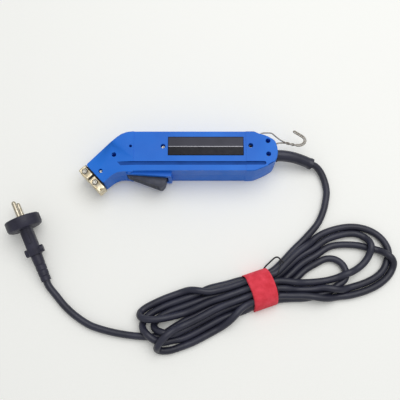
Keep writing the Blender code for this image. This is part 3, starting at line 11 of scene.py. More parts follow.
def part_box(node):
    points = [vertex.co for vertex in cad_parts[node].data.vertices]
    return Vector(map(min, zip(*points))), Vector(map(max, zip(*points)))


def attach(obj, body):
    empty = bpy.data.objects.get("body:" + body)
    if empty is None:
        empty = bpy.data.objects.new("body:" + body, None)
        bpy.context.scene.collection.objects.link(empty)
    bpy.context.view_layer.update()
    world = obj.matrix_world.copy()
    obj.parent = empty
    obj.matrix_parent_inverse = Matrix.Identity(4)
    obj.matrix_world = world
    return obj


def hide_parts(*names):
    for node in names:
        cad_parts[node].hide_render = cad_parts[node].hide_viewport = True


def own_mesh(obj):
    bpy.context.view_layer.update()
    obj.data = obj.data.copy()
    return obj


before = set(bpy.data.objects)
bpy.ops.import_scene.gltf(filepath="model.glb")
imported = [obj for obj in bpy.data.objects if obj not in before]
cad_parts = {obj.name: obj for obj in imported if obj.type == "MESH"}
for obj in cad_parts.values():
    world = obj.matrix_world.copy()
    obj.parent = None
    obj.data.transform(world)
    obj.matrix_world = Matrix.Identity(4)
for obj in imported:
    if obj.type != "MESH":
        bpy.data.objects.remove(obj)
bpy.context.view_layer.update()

# ---- table top, lamp, room and camera -------------------------------------------------------------
# The cutter lies on a matt white sheet under one large soft lamp, a little behind it and to the right.
# The camera looks down steeply from the front, as over a workbench.
CAMERA_SPOT = (0.0019, -0.21245, 0.60744)
CAMERA_AIM = (0.0019, -0.03827, 0.0)
CAMERA_ANGLE = math.radians(40)
SHEET_HALF = 3.0
CARD_GLOW = 0.04        # light of its own that only the camera sees, for an exposure near to white
LAMP_SPOT = (0.30, 0.30, 1.30)
LAMP_AIM = (0, -0.05, 0)
LAMP_SIZE = 1.5
LAMP_POWER = 10.0
ROOM_LIGHT = 0.52       # strength of the room's light, and of the room as the camera sees it
ROOM_SEEN = 0.95


def linear(hex_colour):
    """An sRGB hex colour as the red, green, blue and alpha that a shader socket takes."""
    channels = [int(hex_colour[i:i + 2], 16) / 255 for i in (1, 3, 5)]
    return (*[c / 12.92 if c <= 0.04045 else ((c + 0.055) / 1.055) ** 2.4 for c in channels], 1.0)


def add_node(tree, kind, settings, links=()):
    """A new node with its settings, by property or socket, and its links from other sockets."""
    node = tree.nodes.new(kind)
    for key, value in settings.items():
        if isinstance(key, str) and hasattr(node, key):
            setattr(node, key, value)
        else:
            node.inputs[key].default_value = value
    for key, source in links:
        tree.links.new(source, node.inputs[key])
    return node


def new_finish(name, settings):
    """A new material with plain numbers on its shader's sockets: it, its tree, shader and places."""
    material = bpy.data.materials.new(name)
    material.use_nodes = True
    tree = material.node_tree
    shader = tree.nodes["Principled BSDF"]
    for key, value in settings.items():
        shader.inputs[key].default_value = value
    places = add_node(tree, "ShaderNodeTexCoord", {}).outputs["Object"]
    return material, tree, shader, places


def speckle(tree, places, scale, detail, low, high):
    """A noise over the piece, spread to the range from low to high. Scale is in specks a metre."""
    noise = add_node(tree, "ShaderNodeTexNoise", {"Scale": scale, "Detail": detail}, [("Vector", places)])
    spread = add_node(
        tree, "ShaderNodeMapRange",
        {"From Min": 0.3, "From Max": 0.7, "To Min": low, "To Max": high},
        [("Value", noise.outputs["Fac"])],
    )
    return spread.outputs["Result"]


def two_tone(tree, share, first, second):
    """A mix of two hex colours by a share from 0 to 1."""
    mix = add_node(
        tree, "ShaderNodeMix", {"data_type": "RGBA", 6: linear(first), 7: linear(second)}, [(0, share)]
    )
    return mix.outputs[2]


def raise_bumps(tree, shader, height, depth):
    """Bumps of that height share on the shader, depth in metres."""
    bump = add_node(tree, "ShaderNodeBump", {"Strength": 1.0, "Distance": depth}, [("Height", height)])
    tree.links.new(bump.outputs["Normal"], shader.inputs["Normal"])


def select_only(piece):
    for other in bpy.context.selected_objects:
        other.select_set(False)
    piece.select_set(True)
    bpy.context.view_layer.objects.active = piece


# Matt white card: its fibres only just show, and it stays a touch off white.
card, tree, shader, places = new_finish("matt_white_card", {"Roughness": 0.85, "Specular IOR Level": 0.2})
path_kind = add_node(tree, "ShaderNodeLightPath", {})
seen = add_node(
    tree, "ShaderNodeMath", {"operation": "MAXIMUM"},
    [(0, path_kind.outputs["Is Camera Ray"]), (1, path_kind.outputs["Is Glossy Ray"])],
)
seen = add_node(
    tree, "ShaderNodeMath", {"operation": "MAXIMUM"},
    [(0, seen.outputs[0]), (1, path_kind.outputs["Is Transmission Ray"])],
)
tree.links.new(two_tone(tree, seen.outputs[0], "#DCDCDA", "#FFFFFA"), shader.inputs["Base Color"])
shader.inputs["Emission Color"].default_value = linear("#FFFFF2")
glow = add_node(
    tree, "ShaderNodeMath", {"operation": "MULTIPLY", 1: CARD_GLOW},
    [(0, path_kind.outputs["Is Camera Ray"])],
)
tree.links.new(glow.outputs[0], shader.inputs["Emission Strength"])
raise_bumps(tree, shader, speckle(tree, places, 900, 3, 0, 1), 0.00005)

bpy.ops.object.select_all(action="DESELECT")
bpy.ops.mesh.primitive_plane_add(size=2 * SHEET_HALF, location=(0, 0, 0))
sheet = bpy.context.object
sheet.name = "table_sheet"
sheet.data.materials.append(card)


def looking(spot, aim):
    """The turn of a lamp or camera that stands at one spot and looks at another."""
    return (Vector(aim) - Vector(spot)).to_track_quat("-Z", "Y").to_euler()


lamp = bpy.data.lights.new("soft_lamp_above", "AREA")
lamp.shape = "DISK"
lamp.size = LAMP_SIZE
lamp.energy = LAMP_POWER
lamp_holder = bpy.data.objects.new("soft_lamp_above", lamp)
lamp_holder.location = LAMP_SPOT
lamp_holder.rotation_euler = looking(LAMP_SPOT, LAMP_AIM)
bpy.context.scene.collection.objects.link(lamp_holder)

world = bpy.data.worlds.new("soft_room")
bpy.context.scene.world = world
world.use_nodes = True
world_tree = world.node_tree
background = world_tree.nodes["Background"]
background.inputs["Color"].default_value = linear("#F6F7FA")
path_kind = add_node(world_tree, "ShaderNodeLightPath", {})
strength = add_node(
    world_tree, "ShaderNodeMapRange", {"To Min": ROOM_LIGHT, "To Max": ROOM_SEEN},
    [("Value", path_kind.outputs["Is Camera Ray"])],
)
world_tree.links.new(strength.outputs["Result"], background.inputs["Strength"])

camera = bpy.data.cameras.new("camera")
camera.angle = CAMERA_ANGLE
camera_holder = bpy.data.objects.new("camera", camera)
camera_holder.location = CAMERA_SPOT
camera_holder.rotation_euler = looking(CAMERA_SPOT, CAMERA_AIM)
bpy.context.scene.collection.objects.link(camera_holder)
bpy.context.scene.camera = camera_holder
bpy.context.scene.view_settings.view_transform = "Standard"

# ---- flex ------------------------------------------------------------------------------------------
# Round three-core flex with a black rubber sheath, 7.8 mm thick. It leaves the sleeve, is folded into
# four loops to each side of the strap, and runs on under the left loops to the plug.
CORD = 0.0078
STRAP_MIDDLE = Vector((0.06789, -0.14079, 0))
STRAP_TURN = math.radians(16.1)
STRAP_WIDTH = 0.026
LEAD = [                # from the sleeve, down to the sheet and in under the strap
    (0.1307, 0.0015, 0.0096), (0.1347, 0.0001, 0.0084), (0.1409, -0.0058, 0.0056),
    (0.1455, -0.0173, 0.0041), (0.1470, -0.0298, 0.0040), (0.1454, -0.0398, 0.0040),
    (0.1423, -0.0513, 0.0040), (0.1374, -0.0625, 0.0040), (0.1319, -0.0708, 0.0040),
    (0.1189, -0.0849, 0.0040), (0.1054, -0.0978, 0.0040), (0.0919, -0.1118, 0.0041),
    (0.0774, -0.1231, 0.0051),
]
LEFT_OUTER = [
    (0.0505, -0.1308, 0.0051), (0.0369, -0.1353, 0.0042), (0.0205, -0.1388, 0.0041),
    (0.0052, -0.1433, 0.0041), (-0.0122, -0.1507, 0.0041), (-0.0295, -0.1562, 0.0041),
    (-0.0434, -0.1629, 0.0050), (-0.0534, -0.1690, 0.0070), (-0.0595, -0.1744, 0.0092),
    (-0.0606, -0.1805, 0.0112), (-0.0567, -0.1874, 0.0120), (-0.0496, -0.1923, 0.0122),
    (-0.0402, -0.1943, 0.0110), (-0.0299, -0.1931, 0.0065), (-0.0194, -0.1908, 0.0043),
    (-0.0088, -0.1874, 0.0041), (0.0051, -0.1814, 0.0041), (0.0202, -0.1743, 0.0041),
    (0.0364, -0.1662, 0.0042), (0.0584, -0.1585, 0.0051),
]
RIGHT_INNER = [
    (0.0853, -0.1508, 0.0051), (0.0975, -0.1502, 0.0041), (0.1138, -0.1500, 0.0041),
    (0.1301, -0.1481, 0.0041), (0.1468, -0.1420, 0.0041), (0.1597, -0.1328, 0.0041),
    (0.1629, -0.1215, 0.0041), (0.1571, -0.1112, 0.0041), (0.1450, -0.1066, 0.0041),
    (0.1302, -0.1112, 0.0041), (0.1153, -0.1207, 0.0041), (0.0984, -0.1318, 0.0041),
    (0.0833, -0.1438, 0.0051),
]
LEFT_SECOND = [
    (0.0564, -0.1516, 0.0051), (0.0365, -0.1597, 0.0042), (0.0202, -0.1671, 0.0041),
    (0.0051, -0.1745, 0.0041), (-0.0088, -0.1818, 0.0046), (-0.0214, -0.1870, 0.0080),
    (-0.0303, -0.1879, 0.0110), (-0.0381, -0.1882, 0.0122), (-0.0451, -0.1861, 0.0122),
    (-0.0485, -0.1801, 0.0112), (-0.0450, -0.1735, 0.0086), (-0.0368, -0.1670, 0.0055),
    (-0.0251, -0.1611, 0.0041), (-0.0111, -0.1571, 0.0041), (0.0052, -0.1526, 0.0041),
    (0.0204, -0.1483, 0.0041), (0.0368, -0.1433, 0.0042), (0.0525, -0.1378, 0.0051),
]
RIGHT_SECOND = [
    (0.0794, -0.1300, 0.0051), (0.1001, -0.1143, 0.0043), (0.1141, -0.1028, 0.0041),
    (0.1314, -0.0912, 0.0041), (0.1486, -0.0830, 0.0041), (0.1677, -0.0789, 0.0041),
    (0.1818, -0.0800, 0.0060), (0.1894, -0.0883, 0.0105), (0.1897, -0.0992, 0.0124),
    (0.1848, -0.1095, 0.0122), (0.1749, -0.1183, 0.0122), (0.1612, -0.1252, 0.0122),
    (0.1436, -0.1309, 0.0122), (0.1253, -0.1335, 0.0122), (0.1031, -0.1341, 0.0122),
    (0.0804, -0.1335, 0.0128),
]
LEFT_TOP = [
    (0.0535, -0.1412, 0.0128), (0.0363, -0.1469, 0.0126), (0.0201, -0.1521, 0.0115),
    (0.0051, -0.1570, 0.0095), (-0.0088, -0.1630, 0.0090), (-0.0194, -0.1676, 0.0115),
    (-0.0298, -0.1711, 0.0155), (-0.0401, -0.1729, 0.0186), (-0.0516, -0.1738, 0.0188),
    (-0.0602, -0.1726, 0.0168), (-0.0644, -0.1675, 0.0125), (-0.0595, -0.1627, 0.0080),
    (-0.0495, -0.1574, 0.0050), (-0.0361, -0.1515, 0.0041), (-0.0220, -0.1478, 0.0054),
    (-0.0089, -0.1458, 0.0088), (0.0051, -0.1439, 0.0108), (0.0202, -0.1419, 0.0118),
    (0.0364, -0.1393, 0.0122), (0.0515, -0.1343, 0.0128),
]
RIGHT_OUTER = [
    (0.0784, -0.1265, 0.0128), (0.0995, -0.1100, 0.0095), (0.1140, -0.0974, 0.0065),
    (0.1296, -0.0851, 0.0043), (0.1448, -0.0770, 0.0041), (0.1620, -0.0718, 0.0041),
    (0.1788, -0.0714, 0.0041), (0.1932, -0.0757, 0.0041), (0.2040, -0.0834, 0.0041),
    (0.2103, -0.0944, 0.0041), (0.2108, -0.1070, 0.0041), (0.2042, -0.1195, 0.0041),
    (0.1926, -0.1288, 0.0045), (0.1773, -0.1357, 0.0060), (0.1580, -0.1401, 0.0085),
    (0.1371, -0.1420, 0.0110), (0.1168, -0.1419, 0.0122), (0.1007, -0.1421, 0.0122),
    (0.0823, -0.1404, 0.0128),
]
LEFT_FRONT = [
    (0.0554, -0.1481, 0.0128), (0.0362, -0.1541, 0.0124), (0.0201, -0.1604, 0.0122),
    (0.0051, -0.1683, 0.0122), (-0.0087, -0.1757, 0.0130), (-0.0191, -0.1816, 0.0160),
    (-0.0273, -0.1864, 0.0190), (-0.0345, -0.1909, 0.0198), (-0.0403, -0.1953, 0.0186),
    (-0.0440, -0.1985, 0.0154), (-0.0442, -0.2030, 0.0110), (-0.0396, -0.2060, 0.0070),
    (-0.0319, -0.2057, 0.0048), (-0.0235, -0.2033, 0.0041), (-0.0098, -0.1976, 0.0041),
    (0.0051, -0.1902, 0.0046), (0.0200, -0.1812, 0.0075), (0.0338, -0.1720, 0.0110),
    (0.0456, -0.1640, 0.0126), (0.0574, -0.1551, 0.0128),
]
RIGHT_FRONT = [
    (0.0843, -0.1473, 0.0128), (0.1003, -0.1489, 0.0122), (0.1165, -0.1485, 0.0121),
    (0.1367, -0.1490, 0.0108), (0.1577, -0.1478, 0.0076), (0.1790, -0.1438, 0.0050),
    (0.1972, -0.1355, 0.0043), (0.2089, -0.1259, 0.0055), (0.2141, -0.1151, 0.0090),
    (0.2103, -0.1053, 0.0122), (0.2016, -0.0988, 0.0105), (0.1914, -0.0945, 0.0046),
    (0.1751, -0.0919, 0.0041), (0.1564, -0.0917, 0.0041), (0.1374, -0.0961, 0.0041),
    (0.1203, -0.1049, 0.0041), (0.1031, -0.1178, 0.0041), (0.0814, -0.1369, 0.0051),
]
TAIL = [                # out under the left loops and on to the plug
    (0.0544, -0.1447, 0.0051), (0.0366, -0.1539, 0.0041), (0.0203, -0.1607, 0.0041),
    (0.0051, -0.1667, 0.0041), (-0.0088, -0.1753, 0.0041), (-0.0195, -0.1814, 0.0041),
    (-0.0280, -0.1862, 0.0041), (-0.0361, -0.1895, 0.0041), (-0.0450, -0.1910, 0.0041),
    (-0.0546, -0.1912, 0.0041), (-0.0642, -0.1905, 0.0040), (-0.0749, -0.1893, 0.0040),
    (-0.0857, -0.1876, 0.0040), (-0.0959, -0.1854, 0.0040), (-0.1062, -0.1826, 0.0040),
    (-0.1161, -0.1791, 0.0040), (-0.1267, -0.1730, 0.0040), (-0.1371, -0.1654, 0.0040),
    (-0.1461, -0.1571, 0.0041), (-0.1538, -0.1483, 0.0044),
]
PLUG_END = Vector((-0.16541, -0.13179, 0.0071))     # the tip of the plug's relief
PLUG_TURN = Euler((-math.radians(79), 0, math.radians(23.5))).to_matrix().to_4x4()
PLUG_PLACE = Matrix.Translation(PLUG_END) @ PLUG_TURN
PLUG_RUN = (-0.0065, 0.0006)    # where the flex is on the plug's axis, just before and inside the tip
SIDES = 16
STEP = 0.0022
MERGE = 0.00001
SETTLE_STEP = 0.004
SETTLE_ROUNDS = 160
NEAR_STEPS = 6          # stretches that lie nearer along the flex don't push each other
HELD_ALONG = 0.0135     # half the room that the strap grips, where the flex moves less
HELD_ACROSS = 0.019
HELD_SHARE = 0.25
HELD_FLOOR = 0.0051     # lowest height of its axis on the strap, and on the sheet
OPEN_FLOOR = 0.00395
LEAD_FIXED = 0.165      # lengths at the sleeve and at the plug that stay as drawn
TAIL_FIXED = 0.150
PUSH_SHARE = 0.6
PUSH_MOST = 0.0015
EASE_SHARE = 0.35
SINK = 0.00003


def smooth_line(points, step):
    """Evenly spaced points on the smooth curve through the given ones."""
    p = np.array([points[0], *points, points[-1]], float)
    t = np.linspace(0, 1, 12, endpoint=False)[:, None]
    fine = [
        0.5 * (2 * b + (c - a) * t + (2 * a - 5 * b + 4 * c - d) * t**2 + (3 * b - a - 3 * c + d) * t**3)
        for a, b, c, d in zip(p, p[1:], p[2:], p[3:])
    ]
    fine = np.concatenate([*fine, p[-1:]])
    along = np.concatenate([[0], np.cumsum(np.linalg.norm(np.diff(fine, axis=0), axis=1))])
    at = np.linspace(0, along[-1], round(along[-1] / step) + 1)
    return np.stack([np.interp(at, along, fine[:, k]) for k in range(3)], axis=1)


def line_length(line):
    return float(np.linalg.norm(np.diff(line, axis=0), axis=1).sum())


def settle(line):
    """Lets the loops of the flex settle: turns that touch push apart, bends ease, and all sink."""
    r = line.copy()
    count = len(r)
    order = np.arange(count)
    apart = np.abs(order[:, None] - order[None]) > NEAR_STEPS
    cos, sin = math.cos(STRAP_TURN), math.sin(STRAP_TURN)
    turn = np.array([[cos, sin], [-sin, cos]])
    spots = (r[:, :2] - np.array(STRAP_MIDDLE[:2])) @ turn.T
    held = (np.abs(spots[:, 0]) < HELD_ALONG) & (np.abs(spots[:, 1]) < HELD_ACROSS)
    free = np.where(held, HELD_SHARE, 1.0)
    free[:round(LEAD_FIXED / SETTLE_STEP)] = 0
    free[-round(TAIL_FIXED / SETTLE_STEP):] = 0
    floor = np.where(held, HELD_FLOOR, OPEN_FLOOR)
    for _ in range(SETTLE_ROUNDS):
        away = r[:, None] - r[None]
        far = np.linalg.norm(away, axis=2) + 1e-9
        push = np.where(apart & (far < CORD), (CORD - far) / far * 0.5, 0)
        move = (push[:, :, None] * away).sum(1).clip(-PUSH_MOST, PUSH_MOST) * PUSH_SHARE
        r += move * free[:, None]
        bend = np.zeros_like(r)
        bend[2:-2] = -(r[:-4] - 4 * r[1:-3] + 6 * r[2:-2] - 4 * r[3:-1] + r[4:]) / 16
        r += bend * EASE_SHARE * free[:, None]
        r[:, 2] = np.maximum(r[:, 2] - SINK * (free == 1), np.where(free == 0, r[:, 2], floor))
    return r


def swept(name, points, radii, sides):
    """A round bar along the points, with a radius for each, as a closed mesh."""
    curve = bpy.data.curves.new(name, "CURVE")
    curve.dimensions = "3D"
    curve.bevel_depth = 1.0
    curve.bevel_resolution = sides // 4 - 1
    curve.use_fill_caps = True
    spline = curve.splines.new("POLY")
    spline.points.add(len(points) - 1)
    for knot, spot, radius in zip(spline.points, points, radii):
        knot.co = (*spot, 1)
        knot.radius = radius
    piece = bpy.data.objects.new(name, curve)
    bpy.context.scene.collection.objects.link(piece)
    select_only(piece)
    bpy.ops.object.convert(target="MESH")
    bpy.ops.object.mode_set(mode="EDIT")
    bpy.ops.mesh.select_all(action="SELECT")
    bpy.ops.mesh.remove_doubles(threshold=MERGE)
    bpy.ops.mesh.normals_make_consistent(inside=False)
    bpy.ops.object.mode_set(mode="OBJECT")
    bpy.ops.object.shade_smooth_by_angle(angle=math.radians(45))
    return piece


# Vulcanised rubber sheath: black with a cool cast, softly shiny, and dulled by handling in patches.
flex_rubber, tree, shader, places = new_finish(
    "rubber_sheath", {"Roughness": 0.4, "IOR": 1.5, "Specular IOR Level": 0.55}
)
tree.links.new(
    two_tone(tree, speckle(tree, places, 35, 4, 0, 1), "#1C1D2C", "#2E2F40"), shader.inputs["Base Color"]
)
tree.links.new(speckle(tree, places, 60, 5, 0.34, 0.5), shader.inputs["Roughness"])
raise_bumps(tree, shader, speckle(tree, places, 1400, 4, 0, 1), 0.00004)

plug_run = [tuple(PLUG_PLACE @ Vector((0, 0, along))) for along in PLUG_RUN]
cord_route = smooth_line(
    LEAD + LEFT_OUTER + RIGHT_INNER + LEFT_SECOND + RIGHT_SECOND + LEFT_TOP + RIGHT_OUTER + LEFT_FRONT
    + RIGHT_FRONT + TAIL + plug_run, SETTLE_STEP,
)
cord_route = settle(cord_route)
cord_route = smooth_line(cord_route, STEP)
flex = swept("flex", cord_route, [CORD / 2] * len(cord_route), SIDES)
flex.data.materials.append(flex_rubber)
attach(flex, "body")
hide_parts("cord_lead", "cord_hank", "cord_tail")

# ---- strap and string of the bundle ----------------------------------------------------------------
# A red hook-and-loop strap, 26 mm wide, woven of nylon with a short pile. It goes once round the
# bundle and on over itself to the front. A thin black string is looped round the flex beside it.
STRAP_ROUTE = [         # across the bundle and up: start on top, under the bundle, over, end in front
    (0.0130, 0.0178), (0.0, 0.0206), (-0.0105, 0.0190), (-0.0158, 0.0150), (-0.0188, 0.0095),
    (-0.0188, 0.0040), (-0.0150, 0.0011), (0.0, 0.0009), (0.0150, 0.0011), (0.0188, 0.0040),
    (0.0192, 0.0100), (0.0168, 0.0162), (0.0095, 0.0208), (0.0, 0.0223), (-0.0100, 0.0208),
    (-0.0166, 0.0163), (-0.0201, 0.0104), (-0.0206, 0.0050), (-0.0202, 0.0014),
]
STRAP_THICK = 0.0011
STRAP_TWIST = math.radians(2.5)
STRAP_BOW = 0.0036      # its crown lies this much further along the bundle than its parts on the sheet
STRAP_BOW_BACK = 0.6    # the share of the bow by which the whole strap is set back
STRAP_EDGE_DROP = 0.0004
STRAP_SOFT_EDGE = 0.0003
STRAP_STEP = 0.0012
ROWS_SCALE = 0.32       # draws the rows of the weave 1 mm apart
ROWS_SHARE = 0.45       # how high they stand beside the pile

strap_line = smooth_line([(0, across, up) for across, up in STRAP_ROUTE], STRAP_STEP)
strap_length = line_length(strap_line)
bpy.ops.object.select_all(action="DESELECT")
bpy.ops.mesh.primitive_grid_add(
    x_subdivisions=12, y_subdivisions=len(strap_line) - 1, size=1, calc_uvs=True
)
strap = bpy.context.object
strap.name = "bundle_strap"
strap_place = Matrix.Translation(STRAP_MIDDLE) @ Matrix.Rotation(STRAP_TURN + STRAP_TWIST, 4, "Z")
strap_top = float(strap_line[:, 2].max())
for spot in strap.data.vertices:
    row = round((spot.co.y + 0.5) * (len(strap_line) - 1))
    _, across, up = strap_line[row]
    edge = abs(spot.co.x) * 2
    along = spot.co.x * STRAP_WIDTH + STRAP_BOW * ((up / strap_top) ** 2 - STRAP_BOW_BACK)
    spot.co = strap_place @ Vector((along, across, up - STRAP_EDGE_DROP * edge**6))
select_only(strap)
thickness = strap.modifiers.new("thickness", "SOLIDIFY")
thickness.thickness = STRAP_THICK
thickness.offset = 0
bpy.ops.object.modifier_apply(modifier="thickness")
soft_edge = strap.modifiers.new("soft_edge", "BEVEL")
soft_edge.width = STRAP_SOFT_EDGE
soft_edge.segments = 2
soft_edge.limit_method = "ANGLE"
soft_edge.angle_limit = math.radians(60)
bpy.ops.object.modifier_apply(modifier="soft_edge")
bpy.ops.object.shade_smooth()

# Brushed nylon: the pile catches light at its edges. Its woven rows, 0.5 mm apart on the real strap,
# are drawn 1 mm apart, so that they show.
strap_nylon, tree, shader, places = new_finish(
    "brushed_nylon",
    {"Roughness": 0.78, "Sheen Weight": 0.25, "Sheen Roughness": 0.4, "Sheen Tint": linear("#FFB0B4")},
)
uv = add_node(tree, "ShaderNodeTexCoord", {}).outputs["UV"]
weave_place = add_node(
    tree, "ShaderNodeMapping", {"Scale": (STRAP_WIDTH * 1000, strap_length * 1000, 1)}, [("Vector", uv)]
).outputs["Vector"]
rows = add_node(
    tree, "ShaderNodeTexWave",
    {"bands_direction": "Y", "Scale": ROWS_SCALE, "Distortion": 1.2, "Detail": 2.0},
    [("Vector", weave_place)],
)
pile = speckle(tree, places, 1500, 5, 0, 1)
woven = add_node(
    tree, "ShaderNodeMath", {"operation": "MULTIPLY_ADD", 1: ROWS_SHARE},
    [(0, rows.outputs["Fac"]), (2, pile)],
)
blotch = speckle(tree, places, 140, 4, 0, 1)
tree.links.new(two_tone(tree, blotch, "#E02D3E", "#F8485A"), shader.inputs["Base Color"])
raise_bumps(tree, shader, woven.outputs[0], 0.00018)
strap.data.materials.append(strap_nylon)
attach(strap, "body")
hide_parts("hank_strap")

STRING_BOW = [          # from under the strap in a bow beside the bundle and over the first cord
    (0.0700, -0.1217, 0.0090), (0.0736, -0.1165, 0.0090), (0.0776, -0.1127, 0.0092),
    (0.0814, -0.1092, 0.0098), (0.0848, -0.1068, 0.0106), (0.0876, -0.1070, 0.0116),
    (0.0895, -0.1093, 0.0127), (0.0915, -0.1114, 0.0131), (0.0947, -0.1135, 0.0131),
]
STRING_OVER = [         # from the end of the bow over the bundle to the front
    (0.0893, -0.1098), (0.0896, -0.1128), (0.0888, -0.1172), (0.0866, -0.1231), (0.0847, -0.1292),
    (0.0842, -0.1357), (0.0852, -0.1426), (0.0866, -0.1485),
]
STRING_DOUBLED = 0.0018     # two strands side by side in the bow, and one over the bundle
STRING_SINGLE = 0.0010
STRING_LIFT = 0.0006
STRING_STEP = 0.001
STRING_SIDES = 12
WELL_ABOVE = 0.05


def laid_on(piece, spots, lift):
    """Points that lie on a piece, a lift above its highest surface at each spot."""
    points = []
    for x, y in spots:
        found, place, _, _ = piece.ray_cast((x, y, WELL_ABOVE), (0, 0, -1))
        points.append((x, y, (place.z if found else 0.0) + lift))
    return points


# Braided polyester string: black, thin and slightly shiny, stiff enough to stand off in a bow.
string_black, tree, shader, places = new_finish("braided_string", {"Roughness": 0.5})
tree.links.new(
    two_tone(tree, speckle(tree, places, 900, 2, 0, 1), "#121217", "#26262C"), shader.inputs["Base Color"]
)
raise_bumps(tree, shader, speckle(tree, places, 2500, 2, 0, 1), 0.00005)

string_paths = {
    "bundle_string": (STRING_BOW, STRING_DOUBLED),
    "bundle_string_over": (laid_on(flex, STRING_OVER, STRING_LIFT), STRING_SINGLE),
}
for name, (route, thick) in string_paths.items():
    path = smooth_line(route, STRING_STEP)
    string = swept(name, path, [thick / 2] * len(path), STRING_SIDES)
    string.data.materials.append(string_black)
    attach(string, "body")

# ---- housing shells ---------------------------------------------------------------------------------
# Two half shells of blue ABS, injection moulded in a finely spark-eroded tool. Seven screws in deep
# wells hold them together, and a groove runs along the upper one.


def dressed(node, bevel=0.0, crease=40, weighted=False):
    """A node's own shape as one closed mesh with softened edges, which stands for the node."""
    piece = bpy.data.objects.new(f"{node}_finished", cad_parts[node].data.copy())
    bpy.context.scene.collection.objects.link(piece)
    select_only(piece)
    bpy.ops.object.mode_set(mode="EDIT")
    bpy.ops.mesh.customdata_custom_splitnormals_clear()
    bpy.ops.mesh.select_all(action="SELECT")
    bpy.ops.mesh.remove_doubles(threshold=MERGE)
    bpy.ops.mesh.dissolve_limited(angle_limit=math.radians(0.6))
    bpy.ops.object.mode_set(mode="OBJECT")
    if bevel:
        softened = piece.modifiers.new("softened", "BEVEL")
        softened.width = bevel
        softened.segments = 2
        softened.limit_method = "ANGLE"
        softened.angle_limit = math.radians(35)
        bpy.ops.object.modifier_apply(modifier="softened")
    bpy.ops.object.shade_smooth_by_angle(angle=math.radians(crease))
    if weighted:
        even = piece.modifiers.new("even", "WEIGHTED_NORMAL")
        even.keep_sharp = True
        bpy.ops.object.modifier_apply(modifier="even")
    return piece


def finish_piece(piece, material, slot, body, *nodes):
    """Gives the piece its one material, its body and the nodes that it stands for; slot is not used."""
    piece.data.materials.clear()
    piece.data.materials.append(material)
    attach(piece, body)
    if nodes:
        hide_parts(*nodes)


# Spark-eroded ABS: an even silk shine from a grain of about 0.3 mm, slightly polished where held.
abs_blue, tree, shader, places = new_finish(
    "moulded_abs_blue", {"Roughness": 0.5, "IOR": 1.53, "Specular IOR Level": 0.25}
)
tree.links.new(
    two_tone(tree, speckle(tree, places, 22, 3, 0, 1), "#1B6BD4", "#2278E2"), shader.inputs["Base Color"]
)
tree.links.new(speckle(tree, places, 30, 4, 0.36, 0.5), shader.inputs["Roughness"])
raise_bumps(tree, shader, speckle(tree, places, 3200, 2, 0, 1), 0.00002)

# The faces in the groove along the side get a deeper blue. This is painted shade, standing in for the
# shade that falls into the groove.
GROOVE_LOW_Y = -0.0088
GROOVE_HIGH_Y = -0.0044
GROOVE_TOP = 0.0378
GROOVE_FLOOR = 0.0340
groove_painted_shade, tree, shader, places = new_finish(
    "moulded_abs_painted_groove_shade", {"Roughness": 0.6, "IOR": 1.53, "Specular IOR Level": 0.15}
)
tree.links.new(
    two_tone(tree, speckle(tree, places, 60, 3, 0, 1), "#15489A", "#1A54AC"), shader.inputs["Base Color"]
)
for half in ("housing_lower", "housing_upper"):
    shell = dressed(half, crease=50, weighted=True)
    finish_piece(shell, abs_blue, "blue_moulding", "body", half)
    shell.data.materials.append(groove_painted_shade)
    # Faces inside the groove take the deeper blue of the painted shade.
    for face in shell.data.polygons:
        spot = face.center
        if GROOVE_LOW_Y < spot.y < GROOVE_HIGH_Y and GROOVE_FLOOR < spot.z < GROOVE_TOP:
            face.material_index = 1

# ---- rating plate ------------------------------------------------------------------------------------
# A black printed film with one fine silver line along its middle, left bare otherwise. It is stuck in
# a shallow bed in the upper shell.
plate_low, plate_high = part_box("rating_plate")
LINE_Y = 0.0128
LINE_HALF = 0.0004
PLATE_CORNER = 0.0008
PLATE_EDGE = 0.00012

bpy.ops.object.select_all(action="DESELECT")
bpy.ops.mesh.primitive_cube_add(
    size=1, location=(plate_low + plate_high) / 2, scale=plate_high - plate_low
)
plate = bpy.context.object
plate.name = "rating_film"
bpy.ops.object.transform_apply(location=True, rotation=True, scale=True)
bpy.ops.object.mode_set(mode="EDIT")
bpy.ops.mesh.select_all(action="DESELECT")
bpy.ops.object.mode_set(mode="OBJECT")
for edge in plate.data.edges:
    first, second = (plate.data.vertices[i].co for i in edge.vertices)
    edge.select = abs(first.z - second.z) > 0.0001
bpy.ops.object.mode_set(mode="EDIT")
bpy.ops.mesh.bevel(offset=PLATE_CORNER, segments=4)
for line_y in (LINE_Y - LINE_HALF, LINE_Y + LINE_HALF):
    bpy.ops.mesh.select_all(action="SELECT")
    bpy.ops.mesh.bisect(plane_co=(0, line_y, 0), plane_no=(0, 1, 0))
bpy.ops.object.mode_set(mode="OBJECT")
softened = plate.modifiers.new("softened", "BEVEL")
softened.width = PLATE_EDGE
softened.segments = 2
softened.limit_method = "ANGLE"
bpy.ops.object.modifier_apply(modifier="softened")
bpy.ops.object.shade_smooth_by_angle(angle=math.radians(40))

# Printed polyester film: black with a matt clear coat and faintly scratched. Its far half is painted
# greyer, a painted reflection of the light from above and behind on the clear coat.
film_black, tree, shader, places = new_finish(
    "printed_film_black", {"Roughness": 0.45, "IOR": 1.5, "Specular IOR Level": 0.25}
)
tree.links.new(
    two_tone(tree, speckle(tree, places, 60, 3, 0, 1), "#111018", "#18171F"), shader.inputs["Base Color"]
)
tree.links.new(speckle(tree, places, 240, 5, 0.4, 0.55), shader.inputs["Roughness"])
film_painted_reflection, tree, shader, places = new_finish(
    "film_painted_reflection_grey", {"Roughness": 0.45, "IOR": 1.5, "Specular IOR Level": 0.25}
)
tree.links.new(
    two_tone(tree, speckle(tree, places, 60, 3, 0, 1), "#3C3C46", "#44444F"), shader.inputs["Base Color"]
)
tree.links.new(speckle(tree, places, 240, 5, 0.4, 0.55), shader.inputs["Roughness"])
